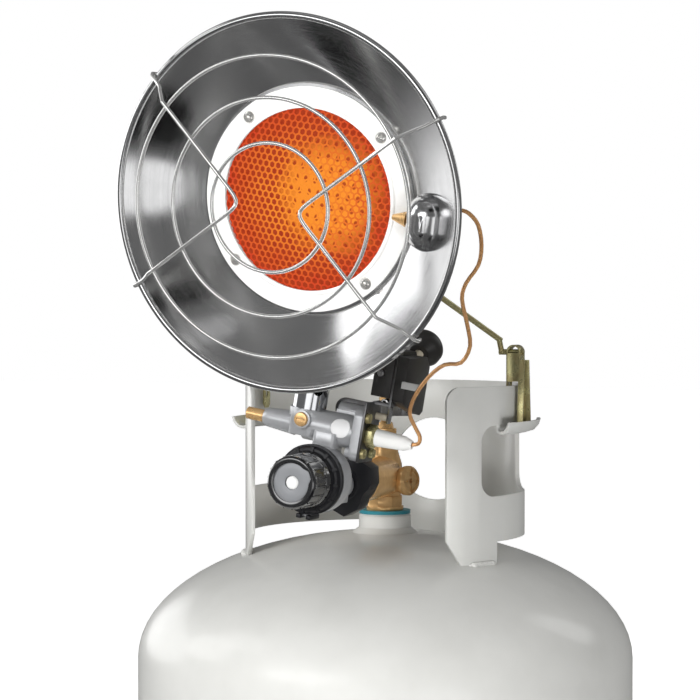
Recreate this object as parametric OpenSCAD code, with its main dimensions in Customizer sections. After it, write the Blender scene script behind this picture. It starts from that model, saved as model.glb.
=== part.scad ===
// Portable propane heater: a round reflector heater head, screwed to the valve of its own
// gas cylinder and steadied by two spring clips on the cylinder's collar.
// Frame: +Z up, origin on the floor under the cylinder, -Y the way the heater shines.

/* [Cylinder] */
// Outer diameter of the gas cylinder
tank_d = 318; // [300:1:380]
// Height from the floor to the top edge of the collar
tank_h = 455; // [430:1:560]
// Wall of the cylinder shells
tank_wall = 2.6; // [2:0.1:3.2]
// Outer diameter of the collar
collar_d = 180; // [170:1:216]
// Sheet thickness of the collar and the foot ring
collar_t = 2.4; // [2:0.1:3]
// Height of the collar above the top of the dome
collar_rise = 95; // [88:1:115]
// Outer diameter of the foot ring
foot_d = 204; // [180:1:240]

/* [Valve and coupling] */
// Diameter of the valve's outlet boss
outlet_d = 27; // [25:0.5:32]
// Bore of the outlet, which the coupling plug screws into
outlet_bore_d = 19; // [18:0.5:20]
// Radius over the lobes of the coupling's hand wheel
wheel_r = 20.5; // [19:0.5:24]
// Thickness of the lobes of the coupling's hand wheel
wheel_t = 14; // [10:0.5:15]
// Diameter of the inlet nipple
nipple_d = 13; // [11:0.5:14]
// Running clearance of turning and sliding pieces, on the radius
fit = 0.05; // [0.02:0.01:0.1]

/* [Heater head] */
// Lean of the whole head about the outlet, clockwise seen from the front
head_roll = 10; // [0:1:12]
// Outer diameter of the regulator
regulator_d = 41; // [38:0.5:48]
// Diameter of the control knob
knob_d = 31; // [28:0.5:36]
// Length of the control knob
knob_l = 21; // [17:0.5:24]
// Distance from the valve's axis to the manifold's axis
manifold_y = 98; // [98:0.5:104]
// Diameter of the manifold's magnet barrel
barrel_d = 20; // [18:0.5:22]
// Diameter of the mixer tube
mixer_d = 20.6; // [19:0.1:22]

/* [Reflector and burner] */
// Diameter over the reflector's rim bead
reflector_d = 217; // [205:1:250]
// Depth of the reflector, from its floor to its rim
reflector_depth = 32; // [28:1:40]
// Sheet thickness of the reflector
reflector_t = 1; // [0.8:0.1:1.4]
// Tilt of the reflector towards the floor
reflector_pitch = 8; // [0:1:12]
// Outer diameter of the white burner ring
burner_ring_d = 132; // [120:1:138]
// Diameter of the glowing screen
screen_d = 107; // [98:1:110]
// Height of the burner's centre above the outlet's axis
burner_h = 170.7; // [165:0.1:200]
// Distance of the guard rings in front of the rim
guard_gap = 18; // [14:1:26]
// Wire diameter of the guard
guard_wire_d = 2.2; // [1.8:0.1:3]

/* [Switch and clips] */
// Diameter of the push button's cap
button_d = 24; // [18:0.5:26]
// Travel of the push button
button_travel = 5; // [3:0.5:6]
// Wire diameter of the support bail
bail_wire_d = 3.6; // [3:0.1:4]
// Length of a spring clip below its pin
clip_l = 47; // [40:1:52]

/* [Hidden] */
$fn = 96;

// ---- values worked out from the sizes above ----
tank_r = tank_d / 2;
head_h = tank_r / 2;                       // 2:1 ellipsoidal heads
dome_top = tank_h - collar_rise;
upper_eq = dome_top - head_h;              // where the barrel meets the upper head
bottom_gap = 18;                           // floor to the lowest point of the lower head
lower_eq = bottom_gap + head_h;
girth_z = (upper_eq + lower_eq) / 2;
collar_r = collar_d / 2;
foot_r = foot_d / 2;
neck_r = 16.8;
port_r = neck_r - 4;                       // port in the top of the dome
neck_top = dome_top + 11.5;
seal_t = 2.2;
valve_base = neck_top + seal_t;
outlet_z = valve_base + 21.5;              // height of the outlet's axis
regulator_up = 6.5;                        // the regulator sits above the outlet's axis

// A point of a 2:1 ellipsoidal head at radius r: its height above the equator
function head_rise(r) = head_h * sqrt(1 - pow(r / tank_r, 2));

// Everything of the heater head is drawn from the outlet's axis and leans with it
module head() {
    translate([0, 0, outlet_z]) rotate([0, head_roll, 0]) children();
}

// A cylinder along Y, from distance a to distance b in front of the valve
module along_y(a, b, r, r2 = -1, x = 0, z = 0) {
    translate([x, -a, z]) rotate([90, 0, 0])
        cylinder(h = b - a, r1 = r, r2 = r2 < 0 ? r : r2);
}

// A cylinder along X, from a to b
module along_x(a, b, r, r2 = -1, y = 0, z = 0) {
    translate([a, y, z]) rotate([0, 90, 0])
        cylinder(h = b - a, r1 = r, r2 = r2 < 0 ? r : r2);
}

// A box given by its lowest and highest corners
module block(lo, hi) {
    translate(lo) cube(hi - lo);
}

// A flat outline with rounded corners, given by its lowest and highest corners
module rounded(lo, hi, r) {
    translate([lo[0] + r, lo[1]]) square([hi[0] - lo[0] - 2 * r, hi[1] - lo[1]]);
    translate([lo[0], lo[1] + r]) square([hi[0] - lo[0], hi[1] - lo[1] - 2 * r]);
    for (x = [lo[0] + r, hi[0] - r], y = [lo[1] + r, hi[1] - r]) translate([x, y]) circle(r = r);
}

// ---- gas cylinder ----
head_steps = 18;

// Outline of a half head from the axis out to the equator, offset inwards by t
function head_arc(t) = [for (i = [0 : head_steps])
    let (a = 90 - 90 * i / head_steps) [(tank_r - t) * cos(a), (head_h - t) * sin(a)]];
function reversed(v) = [for (i = [len(v) - 1 : -1 : 0]) v[i]];

// One deep-drawn shell: a head with half of the barrel, opening downwards
module drawn_shell(barrel, port) {
    difference() {
        rotate_extrude() polygon(concat(head_arc(0), [[tank_r, -barrel], [tank_r - tank_wall, -barrel]],
            reversed(head_arc(tank_wall))));
        if (port > 0) cylinder(h = head_h * 3, r = port, center = true);
    }
}

module upper_shell() {
    color("gainsboro") translate([0, 0, upper_eq]) drawn_shell(upper_eq - girth_z, port_r);
}

module lower_shell() {
    weld_r = 1.6;
    color("gainsboro") {
        translate([0, 0, lower_eq]) mirror([0, 0, 1]) drawn_shell(girth_z - lower_eq, 0);
        // the lower shell's joggled lip, which the upper shell sits over
        translate([0, 0, girth_z - 6]) difference() {
            cylinder(h = 16, r = tank_r - tank_wall - 0.05);
            translate([0, 0, -1]) cylinder(h = 18, r = tank_r - 2 * tank_wall);
        }
        // girth weld
        translate([0, 0, girth_z - 1.2]) rotate_extrude()
            polygon([[tank_r - 0.6, -2.4], [tank_r + weld_r * 0.4, -1.4], [tank_r + weld_r * 0.5, 0],
                [tank_r + 0.2, 1.1], [tank_r - 0.6, 1.1]]);
    }
}

module neck_flange() {
    color("whitesmoke") difference() {
        union() {
            // the part that stands on the dome, with its weld fillet
            difference() {
                union() {
                    translate([0, 0, dome_top - 2]) cylinder(h = neck_top - dome_top + 0.5, r = neck_r);
                    translate([0, 0, neck_top - 1.5]) cylinder(h = 1.5, r1 = neck_r, r2 = neck_r - 1.2);
                    translate([0, 0, dome_top - 0.8]) cylinder(h = 3.6, r1 = neck_r + 4.4, r2 = neck_r);
                }
                translate([0, 0, upper_eq]) head_solid();
            }
            // spigot through the dome's port
            translate([0, 0, dome_top - 10]) cylinder(h = 12, r = port_r - fit);
        }
        translate([0, 0, dome_top - 24]) cylinder(h = 60, r = 11.05);
    }
}

module foot_ring() {
    ring_top = lower_eq - head_rise(foot_r - collar_t / 2) + 1;
    slot_w = 26;
    color("silver") difference() {
        // a straight band with its lower edge rolled in
        rotate_extrude() polygon([[foot_r - 1.5, 0], [foot_r - 0.4, 0.5], [foot_r, 1.6],
            [foot_r, ring_top], [foot_r - collar_t, ring_top], [foot_r - collar_t, 4.2],
            [foot_r - collar_t - 1.8, 3.6], [foot_r - collar_t - 2.8, 2.4],
            [foot_r - collar_t - 2.6, 0.8], [foot_r - collar_t - 1.6, 0]]);
        for (a = [30 : 120 : 270]) rotate([0, 0, a])
            translate([foot_r, 0, 12]) rotate([0, 90, 0]) {
                for (s = [-1, 1]) translate([0, s * slot_w / 2, 0])
                    cylinder(h = 20, d = 9, center = true);
                cube([9, slot_w, 20], center = true);
            }
        translate([0, 0, lower_eq]) mirror([0, 0, 1]) head_solid();
    }
}

// The outer form of a head, for seating pieces on it
module head_solid() {
    rotate_extrude() polygon(concat([[0, -2]], head_arc(-0.02), [[tank_r, -2]]));
}

front_gap = 47.2;            // half angle of the collar's open front
post_w = 16.5;             // angle that one front post takes
hand_from = front_gap + post_w;
hand_to = 125;
band_h = 24;               // height of the collar's top band
hand_top = tank_h - band_h;
hand_bottom = tank_h - 68;
back_hole_r = 28;
back_hole_z = tank_h - 54;
collar_base = upper_eq + head_rise(collar_r) - 0.6;   // where the collar's feet meet the dome

// A wedge between two angles, measured from the front towards +X
module wedge(a, b, r, z0, z1) {
    steps = ceil((b - a) / 30);
    translate([0, 0, z0]) linear_extrude(z1 - z0)
        polygon(concat([[0, 0]], [for (i = [0 : steps])
            let (p = a + (b - a) * i / steps) [1.2 * r * sin(p), -1.2 * r * cos(p)]]));
}

// A hand hole through the collar's side, with rounded corners
hand_corner = 10;
module hand_hole() {
    half = collar_r * sin((hand_to - hand_from) / 2);
    rotate([90, 0, (hand_from + hand_to) / 2]) linear_extrude(collar_r + 20)
        rounded([-half, hand_bottom], [half, hand_top], hand_corner);
}

// The curled lip under the top band of one hand hole
module hand_lip() {
    curl = [[0.2, 2], [0.2, -1.6], [1.8, -4.6], [5, -5.8], [8.6, -4.8], [11.4, -1.6], [12.6, 2]];
    back = [[10.9, 2], [9.9, -0.9], [7.8, -3.2], [5, -3.9], [3, -3.2], [2.2, -1.2], [2.2, 2]];
    rotate([0, 0, hand_from + 9 - 90]) rotate_extrude(angle = hand_to - hand_from - 18)
        translate([collar_r - collar_t, hand_top]) polygon(concat(curl, back));
}

// Cuts the upper corner of one front post round
module post_corner(side) {
    size = 8;
    ease = 1.5;
    rotate([0, 0, side * front_gap]) translate([0, -collar_r, tank_h - size]) rotate([90, 0, 0])
        difference() {
            translate([side > 0 ? -2 : -size - 1.4, -1.4, -8]) cube([size + 3.4, size + 3.4, 16]);
            translate([side * (size + ease), -ease, -9]) cylinder(h = 18, r = norm([size + ease, ease]));
        }
}

module collar() {
    inner = collar_r - collar_t;
    seat_out = upper_eq + head_rise(collar_r) + 0.05;
    seat_in = upper_eq + head_rise(inner) + 0.05;
    color("lightgray") {
        difference() {
            translate([0, 0, collar_base]) cylinder(h = tank_h - collar_base, r = collar_r);
            translate([0, 0, collar_base - 1]) cylinder(h = tank_h - collar_base + 2, r = inner);
            wedge(-front_gap, front_gap, collar_r + 10, collar_base - 1, tank_h + 1);
            for (s = [-1, 1]) {
                post_corner(s);
                // slanted front corner of the foot
                rotate([0, 0, s * front_gap]) translate([0, -collar_r, collar_base + 15.5])
                    rotate([0, s * 56, 0]) translate([-30, -10, -24]) cube([60, 20, 24]);
            }
            for (s = [0, 1]) mirror([s, 0, 0]) {
                hand_hole();
                // drain gap between the feet
                wedge(73, 160, collar_r + 10, collar_base - 1, collar_base + 13.5);
            }
            translate([0, collar_r + 20, back_hole_z]) rotate([90, 0, 0]) cylinder(h = 40, r = back_hole_r);
            // the feet follow the dome
            translate([0, 0, seat_out]) mirror([0, 0, 1]) cylinder(h = 30, r = collar_r + 5);
            translate([0, 0, seat_out - 0.01]) cylinder(h = seat_in - seat_out + 0.01,
                r1 = collar_r, r2 = inner - 0.01);
        }
        for (s = [0, 1]) mirror([s, 0, 0]) hand_lip();
    }
}

// ---- cylinder valve ----
bonnet_z = outlet_z + 23;
bonnet_h = 12;
stem_r = 3;
valve_wheel_z = bonnet_z + bonnet_h + 4;
valve_wheel_t = 9;
valve_wheel_r = 17;
relief_angle = 73;                         // clear of the outlet's boss
relief_r = 9.2;
relief_z = -2;
relief_out = 17.4;                         // face that the relief valve's head seats on
plug_bore_r = outlet_bore_d / 2;
outlet_end = 44;
seat_y = 18;

module valve_body() {
    color("peru") difference() {
        union() {
            translate([0, 0, valve_base - 14]) cylinder(h = 14, r = 11);
            translate([0, 0, valve_base]) cylinder(h = 2.4, r = 12);
            translate([0, 0, valve_base + 2.4]) cylinder(h = 6.6, r = 11.8, $fn = 8);
            translate([0, 0, valve_base + 9]) cylinder(h = 5, r1 = 10.2, r2 = 11);
            translate([0, 0, outlet_z - 8]) cylinder(h = 16, r = 11);
            translate([0, 0, outlet_z + 8]) cylinder(h = 8, r1 = 11, r2 = 8.6);
            translate([0, 0, outlet_z + 16]) cylinder(h = bonnet_z - outlet_z - 16, r = 8.6);
            translate([0, 0, outlet_z]) {
                along_y(4, outlet_end - 1.5, outlet_d / 2);
                along_y(outlet_end - 1.5, outlet_end, outlet_d / 2, outlet_d / 2 - 1.5);
                along_y(2, 6, outlet_d / 2 - 3, outlet_d / 2);
                rotate([0, 0, relief_angle]) {
                    along_y(4, 13, 8, z = relief_z);
                    along_y(13, relief_out, 8, relief_r, z = relief_z);
                }
                rotate([0, 0, -100]) along_y(6, 13.5, 4.4);
            }
        }
        translate([0, 0, outlet_z]) {
            along_y(seat_y, outlet_end + 1, plug_bore_r);
            along_y(seat_y - 3, seat_y + 0.01, 3.5, plug_bore_r);
            along_y(-2, seat_y, 3.5);
            rotate([0, 0, relief_angle]) along_y(2, relief_out + 1, 3, z = relief_z);
            rotate([0, 0, -100]) along_y(2, 14, 2 + fit);
            cylinder(h = 20, r = 2.6);
        }
        translate([0, 0, bonnet_z - 10]) cylinder(h = 11, r = 5.5);
        translate([0, 0, valve_base - 15]) cylinder(h = 20, r = 4.05);
    }
}

module valve_seal() {
    color("darkcyan") translate([0, 0, neck_top]) difference() {
        cylinder(h = seal_t, r = neck_r - 0.4);
        translate([0, 0, -1]) cylinder(h = seal_t + 2, r = 11.2);
    }
}

module valve_bonnet() {
    color("darkgoldenrod") translate([0, 0, bonnet_z]) difference() {
        union() {
            cylinder(h = 8, r = 8, $fn = 6);
            translate([0, 0, 8]) cylinder(h = bonnet_h - 8, r1 = 5.8, r2 = 4.8);
            translate([0, 0, -9]) cylinder(h = 9, r = 5.4);
        }
        translate([0, 0, -10]) cylinder(h = bonnet_h + 12, r = stem_r + fit);
    }
}

module valve_stem() {
    nut_z = valve_wheel_z + valve_wheel_t;
    color("goldenrod") {
        translate([0, 0, outlet_z + 14]) cylinder(h = nut_z - outlet_z - 14, r = stem_r);
        translate([0, 0, nut_z]) cylinder(h = 3, r = 4.2, $fn = 6);
        translate([0, 0, nut_z + 3]) cylinder(h = 1.6, r = 2.4);
    }
}

module valve_wheel() {
    color("silver") translate([0, 0, valve_wheel_z]) difference() {
        union() {
            for (a = [0 : 120 : 240]) rotate([0, 0, a + 30]) {
                translate([valve_wheel_r - 6, 0, 0]) cylinder(h = valve_wheel_t - 1, r = 6);
                translate([0, -4.5, 1]) cube([valve_wheel_r - 6, 9, valve_wheel_t - 3]);
            }
            cylinder(h = valve_wheel_t, r = 7);
            difference() {
                translate([0, 0, 1]) cylinder(h = valve_wheel_t - 3, r = valve_wheel_r - 5.5);
                translate([0, 0, -1]) cylinder(h = 6, r = valve_wheel_r - 8);
            }
        }
        translate([0, 0, -1]) cylinder(h = valve_wheel_t + 2, r = stem_r);
    }
}

module relief_valve() {
    color("sienna") translate([0, 0, outlet_z + relief_z]) rotate([0, 0, relief_angle]) difference() {
        union() {
            along_y(relief_out, relief_out + 3, relief_r + 0.3);
            along_y(relief_out + 3, relief_out + 5, relief_r + 0.3, relief_r - 1.4);
            along_y(8, relief_out, 3 - fit);
        }
        along_y(relief_out - 2, relief_out + 7, 1.6);
        along_y(relief_out + 4, relief_out + 6, 6.2, 6.8);
        for (a = [0 : 90 : 270]) rotate([0, a, 0])
            block([3, -relief_out - 6, -0.8], [8, -relief_out - 3.4, 0.8]);
    }
}

module bleeder_screw() {
    color("goldenrod") translate([0, 0, outlet_z]) rotate([0, 0, -100]) difference() {
        union() {
            along_y(5, 14, 2);
            along_y(14, 17, 3.4);
        }
        translate([-0.5, -18, -4]) cube([1, 2.4, 8]);
    }
}

module dip_tube() {
    color("goldenrod") translate([0, 0, valve_base - 92]) difference() {
        cylinder(h = 88, r = 4);
        translate([0, 0, -1]) cylinder(h = 90, r = 3);
    }
}

// ---- coupling ----
wheel_back = 53;
hub_back = outlet_end + 0.5;
nipple_r = nipple_d / 2;

// Three lobes, each ending in a shallow roof, with hollows between them
module lobe_outline() {
    difference() {
        polygon([for (a = [40 : 120 : 280], c = [[-30, 0.89], [0, 1], [30, 0.89]])
            [wheel_r * c[1] * cos(a + c[0]), wheel_r * c[1] * sin(a + c[0])]]);
        for (a = [100 : 120 : 340]) rotate(a) translate([wheel_r * 1.34, 0]) circle(r = wheel_r * 0.62);
    }
}

module coupling_wheel() {
    color([0.16, 0.16, 0.17]) head() difference() {
        union() {
            translate([0, -wheel_back, 0]) rotate([90, 0, 0]) linear_extrude(wheel_t) lobe_outline();
            along_y(hub_back, wheel_back, 13.5, 14.5);
            along_y(wheel_back + wheel_t, wheel_back + wheel_t + 1, 10.5, 9.8);
        }
        along_y(hub_back - 1, wheel_back + wheel_t + 4, nipple_r + fit);
        along_y(hub_back - 1, hub_back + 7, plug_bore_r - 0.6);
    }
}

module coupling_plug() {
    color("goldenrod") head() difference() {
        union() {
            along_y(seat_y + 4, outlet_end - 4, plug_bore_r - fit);
            along_y(outlet_end - 4, hub_back + 7, plug_bore_r - 0.6);
        }
        along_y(seat_y, hub_back + 8, nipple_r + fit);
    }
}

module inlet_nipple() {
    color("darkgoldenrod") head() difference() {
        union() {
            along_y(seat_y - 2.3, seat_y + 2, 4.2, plug_bore_r - 1.6);
            along_y(seat_y + 2, seat_y + 3.8, plug_bore_r - 1.6);
            along_y(seat_y + 3.8, regulator_inlet + 6, nipple_r);
        }
        along_y(seat_y - 3, regulator_inlet + 7, 2.2);
    }
}

// ---- regulator ----
regulator_inlet = wheel_back + wheel_t + 1.4;
regulator_r = regulator_d / 2;
disc_back = 104;
disc_front = 117;
bonnet_front = 125;
knob_back = bonnet_front + 0.8;
knob_r = knob_d / 2;
neck_half = 7.5;                           // half width of the neck up to the manifold
joint_z = 26;                              // face where regulator and manifold meet
spindle_r = 4;

module regulator_body() {
    color("silver") head() difference() {
        union() {
            along_y(regulator_inlet, regulator_inlet + 2, 7.2, 8.4);
            along_y(regulator_inlet + 2, 88, 8.4, 9.6);
            along_y(88, 99, 9.6, 15);
            along_y(97, disc_back, 13, regulator_r, z = regulator_up);
            along_y(disc_back, disc_front, regulator_r, z = regulator_up);
            translate([0, -102, regulator_up + 8]) linear_extrude(joint_z - regulator_up - 8)
                rounded([-neck_half, -8], [neck_half, 8], 3);
            // strengthening ribs
            for (s = [-1, 1]) block([s * 10 - 1.5, -104, -8], [s * 10 + 1.5, -84, 3]);
            // lug at the foot of the casting, which the bonnet's latch grips
            block([-3.5, -117, regulator_up - regulator_r - 2.4],
                [3.5, -108, regulator_up - regulator_r + 2]);
        }
        along_y(regulator_inlet - 1, regulator_inlet + 6, nipple_r);
        along_y(regulator_inlet, 104, 2.4);
        along_y(105, disc_front + 1, regulator_r - 3, z = regulator_up);
        translate([0, -102, regulator_up]) cylinder(h = joint_z, r = 3);
        block([-20, -122, joint_z], [20, -80, joint_z + 10]);
    }
}

module regulator_bonnet() {
    color([0.07, 0.07, 0.08]) head() translate([0, 0, regulator_up]) difference() {
        union() {
            along_y(disc_front, disc_front + 3, regulator_r + 0.6);
            along_y(disc_front + 3, disc_front + 5.5, regulator_r - 0.4, regulator_r - 1.6);
            along_y(disc_front + 5.5, bonnet_front, 17.4, 16.6);
            for (a = [0 : 30 : 330]) rotate([0, a, 0])
                block([-0.9, -disc_front - 6.4, 16], [0.9, -disc_front - 3, regulator_r - 0.6]);
        }
        along_y(disc_front - 1, disc_front + 5, 14.5);
        along_y(disc_front, bonnet_front + 1, spindle_r + fit);
    }
}

module bonnet_latch() {
    color([0.1, 0.1, 0.11]) head() translate([0, 0, regulator_up - regulator_r]) difference() {
        block([-4.6, -disc_front - 4.2, -3.4], [4.6, -disc_back - 3, -0.8]);
        block([-1.8, -disc_front - 5, -5], [1.8, -disc_front + 5, 0]);
        block([-3.7, -disc_front - 0.05, -2.5], [3.7, -disc_back - 3.8, 0.5]);
    }
}

module diaphragm() {
    color("dimgray") head() translate([0, 0, regulator_up]) difference() {
        union() {
            along_y(106.5, 107.5, regulator_r - 3.05);
            along_y(107.5, 109.5, 8);
        }
        along_y(105, 111, 1.6);
    }
}

// A coil spring swept along Z as one closed tube
function coil_ring(c, u, v, r, n) = [for (k = [0 : n - 1])
    c + r * cos(360 * k / n) * u + r * sin(360 * k / n) * v];
module coil(r, wire_r, h, turns, per_turn = 12, sides = 6) {
    steps = turns * per_turn;
    rings = [for (i = [0 : steps])
        let (a = 360 * i / per_turn, out = [cos(a), sin(a), 0])
        coil_ring([r * cos(a), r * sin(a), h * i / steps], out, [0, 0, 1], wire_r, sides)];
    points = [for (ring = rings) each ring];
    faces = concat([[for (k = [0 : sides - 1]) k]],
        [for (i = [0 : steps - 1], k = [0 : sides - 1])
            [i * sides + k, (i + 1) * sides + k, (i + 1) * sides + (k + 1) % sides,
                i * sides + (k + 1) % sides]],
        [[for (k = [sides - 1 : -1 : 0]) steps * sides + k]]);
    polyhedron(points, faces);
}

module regulator_spring() {
    color("gray") head() translate([0, -110.4, regulator_up]) rotate([90, 0, 0])
        coil(6.2, 0.7, 10, 4);
}

// The knob's cap, its sunk face with room for the dial, and its spindle
module control_knob() {
    face_y = knob_back + knob_l;
    color([0.06, 0.06, 0.07]) head() translate([0, 0, regulator_up]) difference() {
        union() {
            along_y(knob_back, knob_back + 5, knob_r + 1.4, knob_r + 0.6);
            along_y(knob_back + 5, face_y - 1.2, knob_r + 0.4, knob_r);
            along_y(face_y - 1.2, face_y, knob_r, knob_r - 1.2);
            along_y(disc_front + 5.2, knob_back + 1, spindle_r);
            for (a = [0 : 20 : 340]) rotate([0, a, 0])
                along_y(knob_back + 5, face_y - 2, 0.8, 0.6, x = knob_r);
        }
        translate([0, -face_y + dial_sink, 0]) rotate([90, 0, 0]) linear_extrude(5) dial_outline();
        along_y(knob_back - 1, knob_back + 7, knob_r - 2.2);
    }
    // the knob's inner boss, which carries the spindle
    color([0.06, 0.06, 0.07]) head() translate([0, 0, regulator_up])
        along_y(knob_back + 0.5, knob_back + 8, spindle_r + 2);
}

dial_sink = 2.6;
dial_r = 11.6;

// The dial is round with one pointed corner
module dial_outline() {
    circle(r = dial_r);
    intersection() {
        rotate(-14) square([dial_r - 0.7, dial_r - 0.7]);
        circle(r = dial_r + 1.6);
    }
}

module knob_dial() {
    face_y = knob_back + knob_l;
    color("darkgray") head() translate([0, 0, regulator_up]) difference() {
        translate([0, -face_y + dial_sink, 0]) rotate([90, 0, 0]) linear_extrude(1.6) dial_outline();
        along_y(face_y - 2, face_y + 2, 4.1);
    }
}

// ---- manifold ----
barrel_z = 36.6;
barrel_r = barrel_d / 2;
mixer_x = -17;
mixer_r = mixer_d / 2;
barrel_end = 17;
flange_t = 5.5;
bracket_t = 1.5;
flange_out = barrel_end + flange_t;
nut_out = flange_out + bracket_t + 4.5;
plunger_y = -90;
plunger_z = 48.5;
plunger_r = 2.2;
block_top = 45.5;

module manifold() {
    color("lightgray") head() difference() {
        union() {
            along_x(mixer_x, barrel_end, barrel_r, y = -manifold_y, z = barrel_z);
            along_x(-43, -24, 5.8, 7.4, y = -manifold_y, z = barrel_z - 1.6);
            along_x(-45, -43, 4.9, 5.8, y = -manifold_y, z = barrel_z - 1.6);
            // block under the mixer tube, with rounded edges and a round collar
            translate([0, -manifold_y, joint_z + 3.5]) linear_extrude(block_top - joint_z - 5.5)
                rounded([mixer_x - 8.5, -10], [mixer_x + 9.5, 10], 4.5);
            translate([mixer_x, -manifold_y, block_top - 5]) cylinder(h = 5, r = mixer_r + 1.4);
            // boss round the plug screw
            along_y(104, plug_seat, 6.4, 5.6, x = plug_x, z = plug_z);
            // foot that stands on the regulator
            translate([0, -102, joint_z]) linear_extrude(barrel_z - 2 - joint_z)
                rounded([-neck_half, -8], [neck_half, 8], 3);
            // guide of the plunger
            along_x(0, barrel_end, 4.2, y = plunger_y, z = plunger_z);
            block([0, -96, barrel_z], [barrel_end, -86, plunger_z]);
        }
        translate([mixer_x, -manifold_y, barrel_z]) cylinder(h = 20, r = mixer_r - 2.2);
        translate([mixer_x, -manifold_y, block_top - 3]) cylinder(h = 20, r = mixer_r);
        along_x(-50, -8, 3.4, y = -manifold_y, z = barrel_z - 1.6);
        along_x(-50, -38, 3.8, y = -manifold_y, z = barrel_z - 1.6);
        along_x(-8, barrel_end + 1, barrel_r - 2.2, y = -manifold_y, z = barrel_z);
        translate([0, -102, joint_z - 1]) cylinder(h = 12, r = 3);
        along_x(2, barrel_end + 1, plunger_r + fit, y = plunger_y, z = plunger_z);
        along_y(104, 112, 3, x = plug_x, z = plug_z);
    }
}

plug_x = mixer_x + 1;
plug_z = 39.4;
plug_seat = manifold_y + mixer_r + 1.8;    // boss face, just clear of the tube's collar

module side_pipe() {
    color("goldenrod") head() difference() {
        along_x(-57, -39, 3.8, y = -manifold_y, z = barrel_z - 1.6);
        along_x(-54, -38, 2.4, y = -manifold_y, z = barrel_z - 1.6);
    }
}

module plug_screw() {
    color("chocolate") head() difference() {
        union() {
            along_y(manifold_y + mixer_r - 1.9, plug_seat, 3, x = plug_x, z = plug_z);
            along_y(plug_seat, plug_seat + 1.6, 4.4, 4, x = plug_x, z = plug_z);
        }
        block([plug_x - 2.6, -plug_seat - 3, plug_z - 0.5], [plug_x + 2.6, -plug_seat - 0.7, plug_z + 0.5]);
    }
}

screw_spots = [[-manifold_y - 6.5, 47.5], [-manifold_y - 6.5, 26], [-manifold_y + 7.5, 25.5]];

module end_flange() {
    color("silver") head() difference() {
        union() {
            translate([barrel_end, 0, 0]) rotate([90, 0, 90]) linear_extrude(flange_t)
                rounded([-manifold_y - 10.5, 20.5], [-manifold_y + 11.5, 53], 6);
            // locating boss, between the barrel and the regulator's rim
            along_x(barrel_end - 3, barrel_end, 3, y = -manifold_y - 6.5, z = 25);
        }
        along_x(barrel_end - 1, flange_out + 1, 5, y = -manifold_y, z = barrel_z);
        along_x(barrel_end - 1, flange_out + 1, plunger_r + fit, y = plunger_y, z = plunger_z);
        for (p = screw_spots) along_x(barrel_end - 1, flange_out + 1, 1.6, y = p[0], z = p[1]);
    }
}

module flange_screws() {
    out = flange_out + bracket_t;
    color("olivedrab") head() for (p = screw_spots) difference() {
        union() {
            along_x(barrel_end + 1, out, 1.6, y = p[0], z = p[1]);
            along_x(out, out + 2.2, 3.2, 2.8, y = p[0], z = p[1]);
        }
        block([out + 1.4, p[0] - 0.45, p[1] - 4], [out + 3, p[0] + 0.45, p[1] + 4]);
    }
}

module safety_magnet() {
    color("dimgray") head() {
        along_x(-6, 8, barrel_r - 2.6, y = -manifold_y, z = barrel_z);
        along_x(8, nut_out - 1, 3.2, y = -manifold_y, z = barrel_z);
    }
}

// The nut that holds magnet, flange and bracket together
module magnet_nut() {
    color("olive") head() difference() {
        union() {
            along_x(flange_out + bracket_t, nut_out, 7.4, y = -manifold_y, z = barrel_z, $fn = 6);
            along_x(nut_out, nut_out + 1, 6.2, 5.6, y = -manifold_y, z = barrel_z);
        }
        along_x(flange_out, nut_out + 2, 3.2, y = -manifold_y, z = barrel_z);
    }
}

module gas_jet() {
    color("gold") head() translate([mixer_x, -manifold_y, barrel_z + 0.2]) difference() {
        union() {
            cylinder(h = 3, r = mixer_r - 2.2);
            translate([0, 0, 3]) cylinder(h = 6, r1 = 4.5, r2 = 2.4);
        }
        translate([0, 0, -1]) cylinder(h = 12, r = 0.6);
    }
}

// ---- mixer tube and burner ----
burner_y = 148;                            // distance of the burner's face from the valve's axis
elbow_r = 20;
elbow_y = manifold_y + elbow_r;
pan_depth = 20;
// the pan's axis leaves the burner backwards and upwards; this is its height at the elbow's end
elbow_end_y = elbow_y + elbow_r * sin(reflector_pitch);
elbow_end_z = burner_h + (burner_y - elbow_end_y) * tan(reflector_pitch);
elbow_z = elbow_end_z - elbow_r * cos(reflector_pitch);

// Everything of the dish: its own +Z looks out of the bowl, zero at the burner's face
module dish() {
    head() translate([mixer_x, -burner_y, burner_h]) rotate([90 + reflector_pitch, 0, 0]) children();
}

module mixer_tube() {
    pan_back = (burner_y - elbow_end_y) / cos(reflector_pitch) - pan_depth;
    color("gainsboro") {
        head() translate([mixer_x, -manifold_y, 0]) difference() {
            union() {
                translate([0, 0, block_top - 3]) cylinder(h = elbow_z - block_top + 3, r = mixer_r);
                translate([0, -elbow_r, elbow_z]) rotate([90, 0, 90])
                    rotate_extrude(angle = 90 + reflector_pitch) translate([elbow_r, 0]) circle(r = mixer_r);
            }
            translate([0, 0, block_top - 4]) cylinder(h = elbow_z - block_top + 4.01, r = mixer_r - 1);
            translate([0, -elbow_r, elbow_z]) rotate([90, 0, 90])
                rotate_extrude(angle = 90 + reflector_pitch) translate([elbow_r, 0]) circle(r = mixer_r - 1);
            // primary air holes above the jet
            for (a = [45 : 90 : 315]) rotate([0, 0, a]) translate([0, 0, block_top + 12])
                rotate([90, 0, 0]) cylinder(h = 30, r = 3);
        }
        dish() translate([0, 0, -pan_depth - pan_back]) difference() {
            cylinder(h = pan_back, r = mixer_r);
            translate([0, 0, -1]) cylinder(h = pan_back + 2, r = mixer_r - 1);
        }
    }
}

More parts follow.
